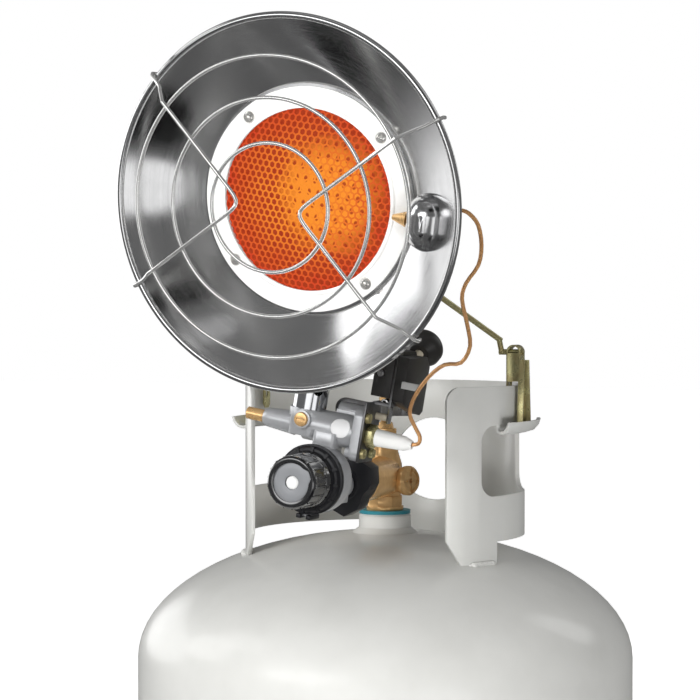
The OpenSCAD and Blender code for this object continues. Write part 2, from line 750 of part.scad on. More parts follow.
hole_r = burner_ring_d / 2;                // radius of the bowl's flat floor
screen_r = screen_d / 2;
pan_r = screen_r + 1.5;
bolt_r = (hole_r + screen_r) / 2;
ring_t = 1.6;
bolt_angles = [45 : 90 : 315];

module burner_pan() {
    color("lightgray") dish() difference() {
        union() {
            // flange against the back of the reflector
            translate([0, 0, -reflector_t - 1.4]) cylinder(h = 1.4, r = hole_r - 1);
            translate([0, 0, -pan_depth + 4]) cylinder(h = pan_depth - 4 - reflector_t, r = pan_r + 1);
            translate([0, 0, -pan_depth]) cylinder(h = 4, r1 = pan_r - 3, r2 = pan_r + 1);
        }
        translate([0, 0, -pan_depth + 1.2]) cylinder(h = pan_depth, r = pan_r - 4.5);
        translate([0, 0, -pan_depth + 4.2]) cylinder(h = pan_depth, r = pan_r);
        translate([0, 0, -pan_depth - 1]) cylinder(h = 4, r = mixer_r - 1);
        for (a = bolt_angles) rotate([0, 0, a]) translate([bolt_r, 0, -8]) cylinder(h = 10, r = 1.6);
    }
}

module burner_plaque() {
    color("peachpuff") dish() translate([0, 0, -pan_depth + 5]) cylinder(h = 11.8, r = pan_r - 0.4);
}

module burner_screen() {
    color("orangered") dish() translate([0, 0, -2.6]) cylinder(h = 3, r = screen_r);
}

module burner_ring() {
    color("white") dish() difference() {
        union() {
            cylinder(h = ring_t, r = hole_r - 0.5);
            // inner lip that holds the screen's edge
            translate([0, 0, ring_t]) cylinder(h = 0.8, r1 = screen_r + 2.4, r2 = screen_r + 1.6);
        }
        translate([0, 0, 0.45]) cylinder(h = 6, r = screen_r - 0.4);
        translate([0, 0, -1]) cylinder(h = 1.45, r = screen_r + 0.05);
        for (a = bolt_angles) rotate([0, 0, a]) translate([bolt_r, 0, -1]) cylinder(h = 4, r = 1.6);
    }
}

module ring_screws() {
    color("white") dish() for (a = bolt_angles) rotate([0, 0, a]) translate([bolt_r, 0, 0]) difference() {
        union() {
            translate([0, 0, ring_t]) intersection() {
                translate([0, 0, -1.6]) sphere(r = 4);
                cylinder(h = 5, r = 3.7);
            }
            translate([0, 0, -7]) cylinder(h = 9, r = 1.6);
        }
        translate([0, 0, ring_t + 2.9]) cube([5, 0.8, 2.4], center = true);
    }
}

// ---- reflector and guard ----
bead_r = 2;
rim_r = reflector_d / 2 - bead_r;          // radius of the bead's centre line
wall_from = hole_r + 1.2;
bowl_steps = 10;

// The bowl is a parabola from its floor out to the bead
function bowl_z(r) = reflector_depth * (r * r - wall_from * wall_from)
    / (rim_r * rim_r - wall_from * wall_from);
bowl_line = [for (i = [0 : bowl_steps])
    let (r = wall_from + (rim_r - bead_r * 0.6 - wall_from) * i / bowl_steps) [r, bowl_z(r)]];

pocket_x = 79.5;
pocket_w = 13;                             // half width across
pocket_half = 3.8;                         // half of the straight part
couple_z = 9;                              // height of the thermocouple over the burner's face

// The pocket's rounded block, t smaller all round
module pocket_form(t) {
    lift = couple_z - 1.5;
    for (s = [-1, 1]) translate([pocket_x, s * pocket_half, lift]) sphere(r = pocket_w - t, $fn = 64);
    translate([pocket_x, 0, lift]) rotate([90, 0, 0])
        cylinder(h = 2 * pocket_half, r = pocket_w - t, center = true, $fn = 64);
}

// All that lies on the inner side of the bowl, t away from its inner face
module bowl_inside(t) {
    rotate_extrude() polygon(concat([[0, t]], [for (p = bowl_line) [p[0] - t, p[1] + t * 0.4]],
        [[rim_r + 30, reflector_depth + 20], [0, reflector_depth + 20]]));
}

module bowl_sheet() {
    rotate_extrude() polygon(concat([[screen_r + 1.6, 0]], bowl_line,
        [for (p = reversed(bowl_line)) [p[0] + reflector_t * 0.75, p[1] - reflector_t * 0.75]],
        [[screen_r + 1.6, -reflector_t]]));
}

module reflector() {
    color("gainsboro") dish() difference() {
        union() {
            bowl_sheet();
            translate([0, 0, reflector_depth]) rotate_extrude() translate([rim_r, 0]) circle(r = bead_r, $fn = 32);
            intersection() {
                difference() {
                    pocket_form(0);
                    pocket_form(reflector_t);
                }
                bowl_inside(-reflector_t * 0.3);
            }
        }
        // the sheet is open behind the pocket
        intersection() {
            pocket_form(reflector_t);
            translate([0, 0, -20]) cylinder(h = 80, r = rim_r - 6);
            bowl_outside();
        }
        // mouth of the pocket, facing the burner
        translate([pocket_x - pocket_w - 3, 0, couple_z]) rotate([0, 90, 0]) cylinder(h = 9, r = 5.4);
        for (a = bolt_angles) rotate([0, 0, a]) translate([bolt_r, 0, -3]) cylinder(h = 6, r = 1.7);
    }
}

// A band round the bowl's sheet, for cutting the sheet alone
module bowl_outside() {
    rotate_extrude() polygon(concat([for (p = bowl_line) [p[0] - 1.2, p[1] + 0.9]],
        [for (p = reversed(bowl_line)) [p[0] + 2, p[1] - 2]]));
}

hook_angles = [34.5, -34.5];
guard_z = reflector_depth + guard_gap;
guard_radii = [36.3, 61.4, 84.8];
apex_r = 20;                               // how far the point of a V wire stays from the centre

module guard_rings() {
    color("white") dish() for (r = guard_radii)
        translate([0, 0, guard_z]) rotate_extrude() translate([r, 0]) circle(d = guard_wire_d, $fn = 24);
}

// A point given by radius, angle and height in the dish
function dish_point(r, a, z) = [r * cos(a), r * sin(a), z];

// Half of a V wire: from its rounded point out to the rim, over the bead and back
function guard_arm(side) = let (
        z = guard_z + guard_wire_d * 0.86,
        a = hook_angles[0] * side)
    [[apex_r + 0.3, 1.7 * side, z], [apex_r + 1.8, 3.9 * side, z], [apex_r + 4.4, 6.6 * side, z],
        dish_point(guard_radii[2] + 3, a, z), dish_point(rim_r - 7, a, reflector_depth + 7),
        dish_point(rim_r - 1.5, a, reflector_depth + 4.4), dish_point(rim_r + 2.2, a, reflector_depth + 3.4),
        dish_point(rim_r + 3.9, a, reflector_depth + 0.6), dish_point(rim_r + 3.4, a, reflector_depth - 3)];

module guard_wires() {
    color("white") dish() for (a = [0, 180]) rotate([0, 0, a])
        swept_tube(concat(reversed(guard_arm(1)), [[apex_r, 0, guard_z + guard_wire_d * 0.86]],
            guard_arm(-1)), guard_wire_d, 12);
}

// ---- thermocouple ----
couple_r = 2.2;
couple_out = 98;

module thermocouple() {
    color("darkgoldenrod") dish() {
        along_x(58, 67, 1.6, 4.8, z = couple_z);
        along_x(67, couple_out, couple_r, z = couple_z);
    }
}

module thermocouple_nut() {
    color("goldenrod") dish() difference() {
        union() {
            along_x(86.5, 91.5, 5, z = couple_z, $fn = 6);
            along_x(91.5, 95, 3.6, 3, z = couple_z);
        }
        along_x(80, 99, couple_r, z = couple_z);
    }
}

// Route of the lead, in the head's own frame
lead_points = [[80.9, -155.6, 179.6], [85, -154.5, 178.5], [90, -150.5, 173], [92.5, -146.5, 162],
    [91, -142, 150.5], [84, -138, 139], [81.5, -133.5, 129.5], [84.5, -127, 116], [86.5, -121, 103],
    [80.5, -115, 92], [69, -110.5, 88.5], [59, -106, 79.5], [50.5, -101.5, 66], [48, -98.8, 55],
    [52.5, -98, 47.5], [56.4, -98, 42.5], [56.2, -98, 38.3], [51.5, -98, 36.6]];
lead_d = 2.4;

function unit(v) = v / norm(v);
// Points between the chosen ones, on a smooth curve
function spline_at(p, i, t) = let (
        a = p[max(i - 1, 0)], b = p[i], c = p[i + 1], d = p[min(i + 2, len(p) - 1)])
    0.5 * (2 * b + (c - a) * t + (2 * a - 5 * b + 4 * c - d) * t * t
        + (3 * b - 3 * c + d - a) * t * t * t);
function smooth(p, n) = concat([for (i = [0 : len(p) - 2], k = [0 : n - 1]) spline_at(p, i, k / n)],
    [p[len(p) - 1]]);

// A tube swept along a route
module swept_tube(route, d, sides = 8) {
    n = len(route);
    side = [0.3, 0.9, 0.31];
    rings = [for (i = [0 : n - 1])
        let (
            t = unit(route[min(i + 1, n - 1)] - route[max(i - 1, 0)]),
            u = unit(cross(t, side)),
            v = cross(t, u))
        [for (k = [0 : sides - 1])
            route[i] + d / 2 * (cos(360 * k / sides) * u + sin(360 * k / sides) * v)]];
    faces = concat([[for (k = [sides - 1 : -1 : 0]) k]],
        [for (i = [0 : n - 2], k = [0 : sides - 1])
            [i * sides + k, i * sides + (k + 1) % sides, (i + 1) * sides + (k + 1) % sides,
                (i + 1) * sides + k]],
        [[for (k = [0 : sides - 1]) (n - 1) * sides + k]]);
    polyhedron([for (ring = rings) each ring], faces);
}

module thermocouple_lead() {
    color("peru") head() swept_tube(smooth(lead_points, 3), lead_d);
}

module lead_boot() {
    back = nut_out + 1;
    color("white") head() difference() {
        union() {
            along_x(back, back + 18, 5.4, 4.4, y = -manifold_y, z = barrel_z);
            along_x(back + 18, back + 23, 4.4, 2.6, y = -manifold_y, z = barrel_z);
        }
        along_x(back - 1, back + 8, 3.3, y = -manifold_y, z = barrel_z);
        // mouth for the lead
        along_x(back + 21.3, back + 24, lead_d / 2 + 0.3, lead_d / 2 + 1, y = -manifold_y, z = barrel_z);
    }
}

module lead_clip() {
    color("whitesmoke") head() difference() {
        block([cover_x + cover_t, -103, 69], [cover_x + cover_t + 11, -99.5, 73]);
        translate([52.6, -102.8, 69.3]) rotate([35, 30, 0]) cylinder(h = 30, r = 1.7, center = true);
    }
}

// ---- switch ----
bracket_x = flange_out;
housing_x0 = 21;
housing_x1 = 33;
housing_front = -98;
housing_back = -60;
housing_low = 61;
housing_top = 89;
cover_x = housing_x1 + bracket_t;
cover_t = 7;
button_x = (housing_x0 + housing_x1) / 2 + 0.5;
button_tilt = 28;                          // rise of the button's axis over the horizontal
stem_out_z = 79;
shaft_r = 3;
lever_pivot = [bracket_x + bracket_t + 4.2, 0, 57.6];
lever_y = -90;

// The button's axis: +Z runs out of the housing's back, zero on the back face
module button_axis() {
    head() translate([button_x, housing_back, stem_out_z]) rotate([-90 + button_tilt, 0, 0]) children();
}

module switch_bracket() {
    color("gray") head() difference() {
        union() {
            // plate clamped by the flange screws
            block([bracket_x, -manifold_y - 10.5, 20.5], [bracket_x + bracket_t, -manifold_y + 12, 57]);
            // tab that looks forward, to the left of the plate
            block([1, -86, 42], [bracket_x + bracket_t, -86 + bracket_t, 55]);
            translate([1, -86, 48.5]) rotate([-90, 0, 0]) cylinder(h = bracket_t, r = 6.5);
            // shelf under the switch
            block([bracket_x, -manifold_y + 1, 56], [housing_x1 + bracket_t, -68, 56 + bracket_t]);
            // strip between the housing and its cover
            block([housing_x1, -97, 56], [housing_x1 + bracket_t, -70, 80]);
            block([housing_x1, -97, 80], [housing_x1 + bracket_t, -90, 93]);
        }
        along_x(bracket_x - 1, bracket_x + 3, 3.4, y = -manifold_y, z = barrel_z);
        along_x(bracket_x - 1, bracket_x + 3, plunger_r + 0.3, y = plunger_y, z = plunger_z);
        for (p = screw_spots) along_x(bracket_x - 1, bracket_x + 3, 1.6, y = p[0], z = p[1]);
        // slot in the tab
        translate([0, -88, 0]) {
            block([6, 0, 47.4], [14, 4, 50]);
            translate([6, 0, 48.7]) rotate([-90, 0, 0]) cylinder(h = 4, r = 1.3);
        }
        // window for the lever
        block([bracket_x + bracket_t + 0.6, lever_y - 3.2, 55], [housing_x1 - 0.2, lever_y + 3.2, 59]);
    }
}

module switch_housing() {
    color([0.13, 0.12, 0.12]) {
        difference() {
            head() difference() {
                union() {
                    translate([housing_x0, 0, 0]) rotate([90, 0, 90]) linear_extrude(housing_x1 - housing_x0)
                        polygon([[housing_front, housing_low], [housing_front, housing_top],
                            [housing_back - 6, housing_top], [housing_back, housing_top - 6],
                            [housing_back, housing_low - 3], [housing_back - 12, housing_low - 3],
                            [housing_back - 16, housing_low]]);
                }
                // chamber of the pendulum
                block([housing_x0 + 1.5, housing_front + 1.5, housing_low + 7],
                    [housing_x1 - 1.5, housing_front + 12, housing_top - 1.5]);
                block([bracket_x + bracket_t + 0.6, lever_y - 3.2, housing_low - 1],
                    [housing_x1 - 1.5, lever_y + 3.2, housing_low + 3]);
                along_y(-housing_front - 2, -housing_front + 1, 1.5, x = 25.5, z = 75);
            }
            button_axis() {
                translate([0, 0, -20]) cylinder(h = 17, r = 5.2);
                translate([0, 0, -4]) cylinder(h = 12, r = shaft_r + fit);
            }
        }
        button_axis() translate([0, 0, -0.5]) difference() {
            intersection() {
                cylinder(h = 3.4, r = 5);
                translate([-4.9, -5, -1]) cube([9.8, 10, 6]);
            }
            translate([0, 0, -1]) cylinder(h = 6, r = shaft_r + fit);
        }
    }
}

module switch_cover() {
    color([0.2, 0.18, 0.19]) head() translate([cover_x, 0, 0]) rotate([90, 0, 90]) linear_extrude(cover_t)
        polygon([[housing_front + 1, housing_low - 1], [housing_front + 1, housing_top - 2],
            [housing_back - 7, housing_top - 2], [housing_back - 1, housing_top - 8],
            [housing_back - 1, housing_low - 8], [housing_back - 5, housing_low - 10],
            [housing_front + 8, housing_low - 4]]);
}

module cover_screw() {
    color("silver") head() difference() {
        union() {
            along_y(-housing_front - 2, -housing_front, 1.5, x = 25.5, z = 75);
            along_y(-housing_front, -housing_front + 1.2, 2.4, 2, x = 25.5, z = 75);
        }
        block([25.1, housing_front - 3, 72], [25.9, housing_front - 0.8, 78]);
    }
}

// The weight that shuts the heater off when it is knocked over; it hangs plumb
pendulum_pivot = [26, housing_front + 6.7, housing_top - 5];

module tip_pendulum() {
    color("slategray") head() translate(pendulum_pivot) rotate([0, -head_roll, 0]) {
        along_y(-5.15, 5.15, 0.9);
        translate([0, 0, -9]) cylinder(h = 9, r = 0.7);
        translate([0, 0, -10]) sphere(r = 2.2, $fn = 32);
    }
}

cap_from = 15;                             // free stem between the housing and the cap

module push_button() {
    cap_r = button_d / 2;
    dome_low = 5.2;                        // the dome's centre lies this far under its rim
    color([0.1, 0.1, 0.1]) button_axis() translate([0, 0, cap_from]) difference() {
        union() {
            cylinder(h = 4, r1 = 6.5, r2 = cap_r - 1);
            translate([0, 0, 4]) cylinder(h = 2, r1 = cap_r - 1, r2 = cap_r);
            translate([0, 0, 6]) cylinder(h = 4, r = cap_r);
            translate([0, 0, 10]) intersection() {
                cylinder(h = cap_r, r = cap_r);
                translate([0, 0, -dome_low]) sphere(r = norm([cap_r, dome_low]));
            }
        }
        translate([0, 0, -1]) cylinder(h = 9, r = shaft_r);
    }
}

module button_stem() {
    color("wheat") button_axis() {
        translate([0, 0, -8]) cylinder(h = cap_from + 16, r = shaft_r);
        translate([0, 0, -8]) cylinder(h = 2, r = 4.9);
    }
}

module button_spring() {
    color("silver") button_axis() translate([0, 0, -19.4]) coil(3.9, 0.5, 10.8, 5);
}

// A bell crank: from its pivot under the housing out to the right, then down to the plunger
module safety_lever() {
    w = 5;
    tip_x = plunger_out + 0.4;
    tip_t = 1.2;
    color("lightgray") head() difference() {
        union() {
            translate([lever_pivot[0], lever_y - w / 2, lever_pivot[2]]) rotate([-90, 0, 0]) cylinder(h = w, r = 2.2);
            block([lever_pivot[0], lever_y - w / 2, lever_pivot[2] - 0.9],
                [tip_x + tip_t, lever_y + w / 2, lever_pivot[2] + 0.5]);
            block([tip_x, lever_y - w / 2, plunger_z - 3.4],
                [tip_x + tip_t, lever_y + w / 2, lever_pivot[2] + 0.5]);
        }
        translate([lever_pivot[0], lever_y, lever_pivot[2]]) rotate([90, 0, 0])
            cylinder(h = w + 2, r = 0.8, center = true);
    }
}

plunger_out = 31;

module safety_plunger() {
    color("white") head() {
        along_x(6, plunger_out, plunger_r, y = plunger_y, z = plunger_z);
    }
}

// ---- bail and clips ----
// The bail turns on a level axis behind the mixer tube's elbow
bail_pivot = [11, -81, outlet_z + 148.5];
bail_half = 11;
clip_x = collar_r - collar_t / 2;
clip_pin_z = tank_h + 21;
wire_r = bail_wire_d / 2;
ear_r = 4.6;

module bail_bracket() {
    color("darkgray") difference() {
        union() {
            for (s = [-1, 1]) translate([bail_pivot[0] + s * (bail_half - 3.5), bail_pivot[1], bail_pivot[2]])
                rotate([0, 90, 0]) {
                    cylinder(h = 1.6, r = ear_r, center = true);
                    translate([0, -5, 0]) cube([2 * ear_r, 10, 1.6], center = true);
                }
            translate([bail_pivot[0], bail_pivot[1] - 8.5, bail_pivot[2]])
                cube([2 * bail_half - 5.4, 1.6, 2 * ear_r], center = true);
            // strap round the mixer tube
            head() translate([mixer_x, -manifold_y, bail_pivot[2] - outlet_z - 4]) difference() {
                union() {
                    cylinder(h = 8, r = mixer_r + 1.3);
                    translate([-4, 0, 0]) cube([8, mixer_r + 5, 8]);
                }
                translate([0, 0, -1]) cylinder(h = 10, r = mixer_r);
            }
        }
        translate(bail_pivot) rotate([0, 90, 0]) cylinder(h = 60, r = pin_r + fit, center = true);
        head() translate([mixer_x, -manifold_y, 60]) cylinder(h = elbow_z - 59, r = mixer_r);
    }
}

pin_r = 2;

module bail_pin() {
    color("dimgray") translate(bail_pivot) rotate([0, 90, 0])
        cylinder(h = 2 * bail_half + 6, r = pin_r, center = true);
}

// A straight length of wire from a to b, run on past each end
module wire_length(a, b, d, before, after) {
    v = unit(b - a);
    translate(a - before * v) rotate([0, acos(v[2]), atan2(v[1], v[0])])
        cylinder(h = norm(b - a) + before + after, d = d);
}

// One arm of the bail, from its eye on the pin to the pin of its clip; s = 1 is the right arm
module bail_arm(s) {
    eye = bail_pivot + [s * bail_half, 0, 0];
    root = eye + [s * 1.2, 4.6, -3.4];
    knee = [s * (clip_x - 10.4), -1.4, clip_pin_z + 8];
    corner = [s * (clip_x - 9.2), 0, clip_pin_z];
    tip = [s * (clip_x + 5.6), 0, clip_pin_z];
    wire_length(root, knee, bail_wire_d, 0, 1.5);
    wire_length(knee, corner, bail_wire_d - 0.1, 1, 1);
    wire_length(corner, tip, bail_wire_d, 1.5, 0);
    // eye round the pin
    translate(eye) rotate([0, 90, 0]) difference() {
        cylinder(h = bail_wire_d, r = pin_r + 3.4, center = true);
        cylinder(h = bail_wire_d + 2, r = pin_r + fit, center = true);
    }
}

module support_bail() {
    color("olive") for (s = [-1, 1]) bail_arm(s);
}

clip_t = 0.9;
clip_gap = 7.4;                            // inner width between a clip's two leaves

// A spring clip, drawn round its pin with the leaves down; +X is the outer side
module spring_clip() {
    arch = clip_gap / 2;
    difference() {
        union() {
            // folded top with the cheeks that carry the pin
            rotate([90, 0, 0]) translate([0, 0, -4.5]) linear_extrude(9) difference() {
                folded_outline(arch + clip_t, 4);
                folded_outline(arch, 5);
            }
            // side walls above the collar's edge
            for (s = [-1, 1]) translate([0, s * (4.2 - clip_t / 2), -9.6])
                cube([2 * arch + 0.4, clip_t, 18], center = true);
            outer_leaf(arch);
            inner_leaf(arch);
        }
        rotate([0, 90, 0]) cylinder(h = 40, r = wire_r + fit, center = true);
    }
}

// A round top with straight sides below it
module folded_outline(r, drop) {
    circle(r = r);
    translate([-r, -drop]) square([2 * r, drop]);
}

// The outer leaf widens downwards; its edges are folded out into flanges
module outer_leaf(arch) {
    flange_w = 3;
    translate([arch + clip_t, 0, 0]) rotate([0, -90, 0]) linear_extrude(clip_t)
        polygon([[-3, -4.5], [-3, 4.5], [-clip_l + 3, 8], [-clip_l, 6], [-clip_l, -6], [-clip_l + 3, -8]]);
    intersection() {
        translate([arch + clip_t - 0.01, 0, 0]) rotate([0, -90, 0]) mirror([0, 0, 1]) linear_extrude(flange_w)
            difference() {
                polygon([[-5, -4.7], [-5, 4.7], [-clip_l + 3, 8], [-clip_l + 3, -8]]);
                polygon([[-4, -3.7], [-4, 3.7], [-clip_l + 2, 7], [-clip_l + 2, -7]]);
            }
        translate([arch, -20, -clip_l]) cube([20, 40, clip_l - 4]);
    }
}

// The inner leaf is short enough to leave the collar as the bail swings up
module inner_leaf(arch) {
    leaf_l = clip_l - 9;
    translate([-arch, 0, 0]) rotate([0, -90, 0]) linear_extrude(clip_t) difference() {
        polygon([[-3, -4.5], [-3, 4.5], [-leaf_l + 2.5, 4.5], [-leaf_l, 2], [-leaf_l, -2],
            [-leaf_l + 2.5, -4.5]]);
        rounded([-leaf_l + 7.6, -1.4], [-11.6, 1.4], 1.39);
    }
}

module clip_right() {
    color("olive") translate([clip_x, 0, clip_pin_z]) spring_clip();
}

module clip_left() {
    color("olive") translate([-clip_x, 0, clip_pin_z]) mirror([1, 0, 0]) spring_clip();
}

upper_shell();
lower_shell();
neck_flange();
foot_ring();
collar();
valve_body();
valve_seal();
valve_bonnet();
valve_stem();
valve_wheel();
relief_valve();
bleeder_screw();
dip_tube();
coupling_wheel();
coupling_plug();
inlet_nipple();
regulator_body();
regulator_bonnet();
bonnet_latch();
diaphragm();
regulator_spring();
control_knob();
knob_dial();
manifold();
side_pipe();
plug_screw();
end_flange();
flange_screws();
safety_magnet();
magnet_nut();
gas_jet();
mixer_tube();
burner_pan();
burner_plaque();
burner_screen();
burner_ring();
ring_screws();
reflector();
guard_rings();
guard_wires();
thermocouple();
thermocouple_nut();
thermocouple_lead();
lead_boot();
lead_clip();
switch_bracket();
switch_housing();
switch_cover();
cover_screw();
tip_pendulum();
push_button();
button_stem();
button_spring();
safety_lever();
safety_plunger();
bail_bracket();
bail_pin();
support_bail();
clip_right();
clip_left();
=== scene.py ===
"""Portable propane heater on its gas cylinder: finishes, glowing burner, small trim and studio."""

import math

import bmesh
import bpy
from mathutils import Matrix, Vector, noise


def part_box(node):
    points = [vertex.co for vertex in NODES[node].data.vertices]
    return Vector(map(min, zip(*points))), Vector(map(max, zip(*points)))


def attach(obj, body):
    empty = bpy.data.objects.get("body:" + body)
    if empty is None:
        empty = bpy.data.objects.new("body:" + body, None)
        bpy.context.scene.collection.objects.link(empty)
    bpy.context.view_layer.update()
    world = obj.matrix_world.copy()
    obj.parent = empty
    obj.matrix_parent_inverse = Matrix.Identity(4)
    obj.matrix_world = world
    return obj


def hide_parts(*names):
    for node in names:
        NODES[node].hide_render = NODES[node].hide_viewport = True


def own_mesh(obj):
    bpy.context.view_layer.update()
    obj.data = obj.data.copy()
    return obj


bl_info = {
    "name": "Propane heater finishes",
    "version": (1, 0, 0),
    "blender": (4, 5, 0),
    "location": "View3D > Sidebar > Heater",
    "description": "Finishes and lights a portable propane heater and makes its glowing burner",
    "category": "Object",
}

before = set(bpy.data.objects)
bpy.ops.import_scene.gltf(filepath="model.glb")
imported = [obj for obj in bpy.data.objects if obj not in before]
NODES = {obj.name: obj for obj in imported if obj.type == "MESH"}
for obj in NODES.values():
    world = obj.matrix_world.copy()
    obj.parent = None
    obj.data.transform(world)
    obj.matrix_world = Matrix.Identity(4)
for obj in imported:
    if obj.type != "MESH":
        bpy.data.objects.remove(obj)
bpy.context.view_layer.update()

MM = 0.001
FULL_TURN = 2 * math.pi
WHITE = (1, 1, 1)

# Axes of the burner bowl: X to its right, Y up its face, Z out of the bowl
HEAD_ROLL = math.radians(10)
BOWL_CENTRE = Vector((0.0129, -0.1480, 0.56626))
BOWL_OUT = Vector((-0.0242, -0.9903, -0.1370)).normalized()
BOWL_RIGHT = Vector((math.cos(HEAD_ROLL), 0, -math.sin(HEAD_ROLL)))
BOWL_UP = BOWL_OUT.cross(BOWL_RIGHT).normalized()
BOWL_RIGHT = BOWL_UP.cross(BOWL_OUT).normalized()

# Height of the valve outlet that the head is screwed to
OUTLET_Z = 0.3952

# The cylinder's dome, in millimetres: its radius, where it starts and how far it rises
DOME_RADIUS = 159
DOME_BASE = 280.5
DOME_RISE = 79.5

# The feet of the collar, in degrees from the front, and the two sides of its sheet in millimetres
FOOT_ARCS = ((57, 72), (162, 178))
SHEET_SIDES = (90.4, 87.2)

# Radius of a rounded edge, in metres: none, on thin sheet and small hardware, on turned pieces,
# and on castings and mouldings
PLAIN, THIN, TURNED, CAST = 0, 0.0002, 0.0003, 0.0004
# The angle from which an edge is crisp, in degrees, on most pieces and on the bowl and burner
CREASE, BOWL_CREASE = 32, 28
# Points of a CAD node that are nearer than this, in metres, are one
JOIN_GAP = 0.000002


def on_bowl(x, y, z):
    """A point given on the bowl's own axes, in millimetres, as a place in the model."""
    return BOWL_CENTRE + (BOWL_RIGHT * x + BOWL_UP * y + BOWL_OUT * z) * MM


def on_head(x, y, z):
    """A point given on the rolled head's axes from the valve outlet, in millimetres."""
    c, s = math.cos(HEAD_ROLL), math.sin(HEAD_ROLL)
    return Vector(((x * c + z * s) * MM, y * MM, OUTLET_Z + (-x * s + z * c) * MM))


def dome_height(radius):
    """Height of the cylinder's dome at a radius, both in millimetres."""
    return DOME_BASE + DOME_RISE * math.sqrt(max(0, 1 - (radius / DOME_RADIUS) ** 2))


# ---------------- settings


class HeaterPaintSettings(bpy.types.PropertyGroup):
    """Sizes and colours of the painted cylinder and the cast and plated parts."""

    cylinder_colour: bpy.props.FloatVectorProperty(
        name="Cylinder paint", description="Colour of the enamel on the gas cylinder",
        subtype="COLOR", size=3, min=0, max=1, default=(0.64, 0.64, 0.615))
    cylinder_shade: bpy.props.FloatVectorProperty(
        name="Paint mottle", description="Darker colour that clouds the enamel in soft patches",
        subtype="COLOR", size=3, min=0, max=1, default=(0.60, 0.60, 0.575))
    mottle_size: bpy.props.FloatProperty(
        name="Mottle size", description="Width of one cloudy patch in the enamel",
        subtype="DISTANCE", min=0.005, max=0.2, default=0.045)
    brass_colour: bpy.props.FloatVectorProperty(
        name="Brass", description="Colour of turned brass",
        subtype="COLOR", size=3, min=0, max=1, default=(0.80, 0.50, 0.22))
    casting_colour: bpy.props.FloatVectorProperty(
        name="Cast alloy", description="Colour of the cast manifold and regulator body",
        subtype="COLOR", size=3, min=0, max=1, default=(0.66, 0.67, 0.69))
    zinc_colour: bpy.props.FloatVectorProperty(
        name="Olive zinc", description="Colour of the chromated bail, clips and nuts",
        subtype="COLOR", size=3, min=0, max=1, default=(0.46, 0.43, 0.22))


class HeaterBurnerSettings(bpy.types.PropertyGroup):
    """Sizes and colours of the glowing burner."""

    cell: bpy.props.FloatProperty(
        name="Screen cell",
        description="Width of one six-sided opening of the burner screen, from wire to wire",
        subtype="DISTANCE", min=0.002, max=0.01, default=0.0032)
    strand: bpy.props.FloatProperty(
        name="Strand", description="Width of one strand of the burner screen",
        subtype="DISTANCE", min=0.0004, max=0.003, default=0.0009)
    dome: bpy.props.FloatProperty(
        name="Screen dome", description="How far the middle of the screen stands out of its edge",
        subtype="DISTANCE", min=0, max=0.02, default=0.007)
    edge_colour: bpy.props.FloatVectorProperty(
        name="Edge glow", description="Colour of the metal where it is least hot",
        subtype="COLOR", size=3, min=0, max=1, default=(0.60, 0.045, 0.008))
    hot_colour: bpy.props.FloatVectorProperty(
        name="Hot glow", description="Colour of the metal where it is hottest",
        subtype="COLOR", size=3, min=0, max=1, default=(0.98, 0.36, 0.025))
    glow: bpy.props.FloatProperty(
        name="Glow", description="Strength of the light that the burner gives",
        min=0, max=5, default=0.95)


class HeaterBowlSettings(bpy.types.PropertyGroup):
    """Sizes and colours of the polished bowl and guard."""

    steel_colour: bpy.props.FloatVectorProperty(
        name="Bowl steel", description="Colour of the polished bowl",
        subtype="COLOR", size=3, min=0, max=1, default=(0.66, 0.66, 0.665))
    ring_pitch: bpy.props.FloatProperty(
        name="Spinning marks",
        description="Distance between the faint rings that spinning leaves in the bowl",
        subtype="DISTANCE", min=0.0005, max=0.01, default=0.0016)
    wire_colour: bpy.props.FloatVectorProperty(
        name="Guard wire", description="Colour of the plated guard wire",
        subtype="COLOR", size=3, min=0, max=1, default=(0.72, 0.72, 0.71))


class HeaterTrimSettings(bpy.types.PropertyGroup):
    """Sizes of the small trim."""

    bead: bpy.props.FloatProperty(
        name="Weld bead", description="Width of the weld bead along the collar's feet",
        subtype="DISTANCE", min=0.001, max=0.008, default=0.0042)
    seal_disc: bpy.props.FloatProperty(
        name="Round sticker", description="Diameter of the blank sticker on the casting",
        subtype="DISTANCE", min=0.004, max=0.02, default=0.0125)
    hub: bpy.props.FloatProperty(
        name="Dial hub", description="Diameter of the white hub in the middle of the dial",
        subtype="DISTANCE", min=0.004, max=0.012, default=0.0078)


class HeaterStageSettings(bpy.types.PropertyGroup):
    """Size and light of the studio."""

    floor_size: bpy.props.FloatProperty(
        name="Floor", description="Width of the studio floor",
        subtype="DISTANCE", min=2, max=60, default=24)
    sky: bpy.props.FloatProperty(
        name="Sky", description="Strength of the even light from all round",
        min=0, max=2, default=0.20)
    lamps: bpy.props.FloatProperty(
        name="Lamps", description="Strength of the soft lamps",
        min=0, max=5, default=1.0)


SETTINGS = (
    ("heater_paint", HeaterPaintSettings),
    ("heater_burner", HeaterBurnerSettings),
    ("heater_bowl", HeaterBowlSettings),
    ("heater_trim", HeaterTrimSettings),
    ("heater_stage", HeaterStageSettings),
)


# ---------------- shader helpers


def feed(tree, socket, value):
    """Joins a socket to an input, or sets the input to a number, vector or colour."""
    if isinstance(value, bpy.types.NodeSocket):
        tree.links.new(value, socket)
    elif socket.type == "RGBA":
        socket.default_value = (*value[:3], 1)
    else:
        socket.default_value = value


def feed_all(tree, sockets, values):
    """Feeds several inputs, each by its name or number."""
    for key, value in values.items():
        feed(tree, sockets[key], value)


def add_node(tree, kind, inputs=None, **options):
    """Adds a shader node, sets its options and feeds its inputs."""
    node = tree.nodes.new(kind)
    for key, value in options.items():
        setattr(node, key, value)
    feed_all(tree, node.inputs, inputs or {})
    return node


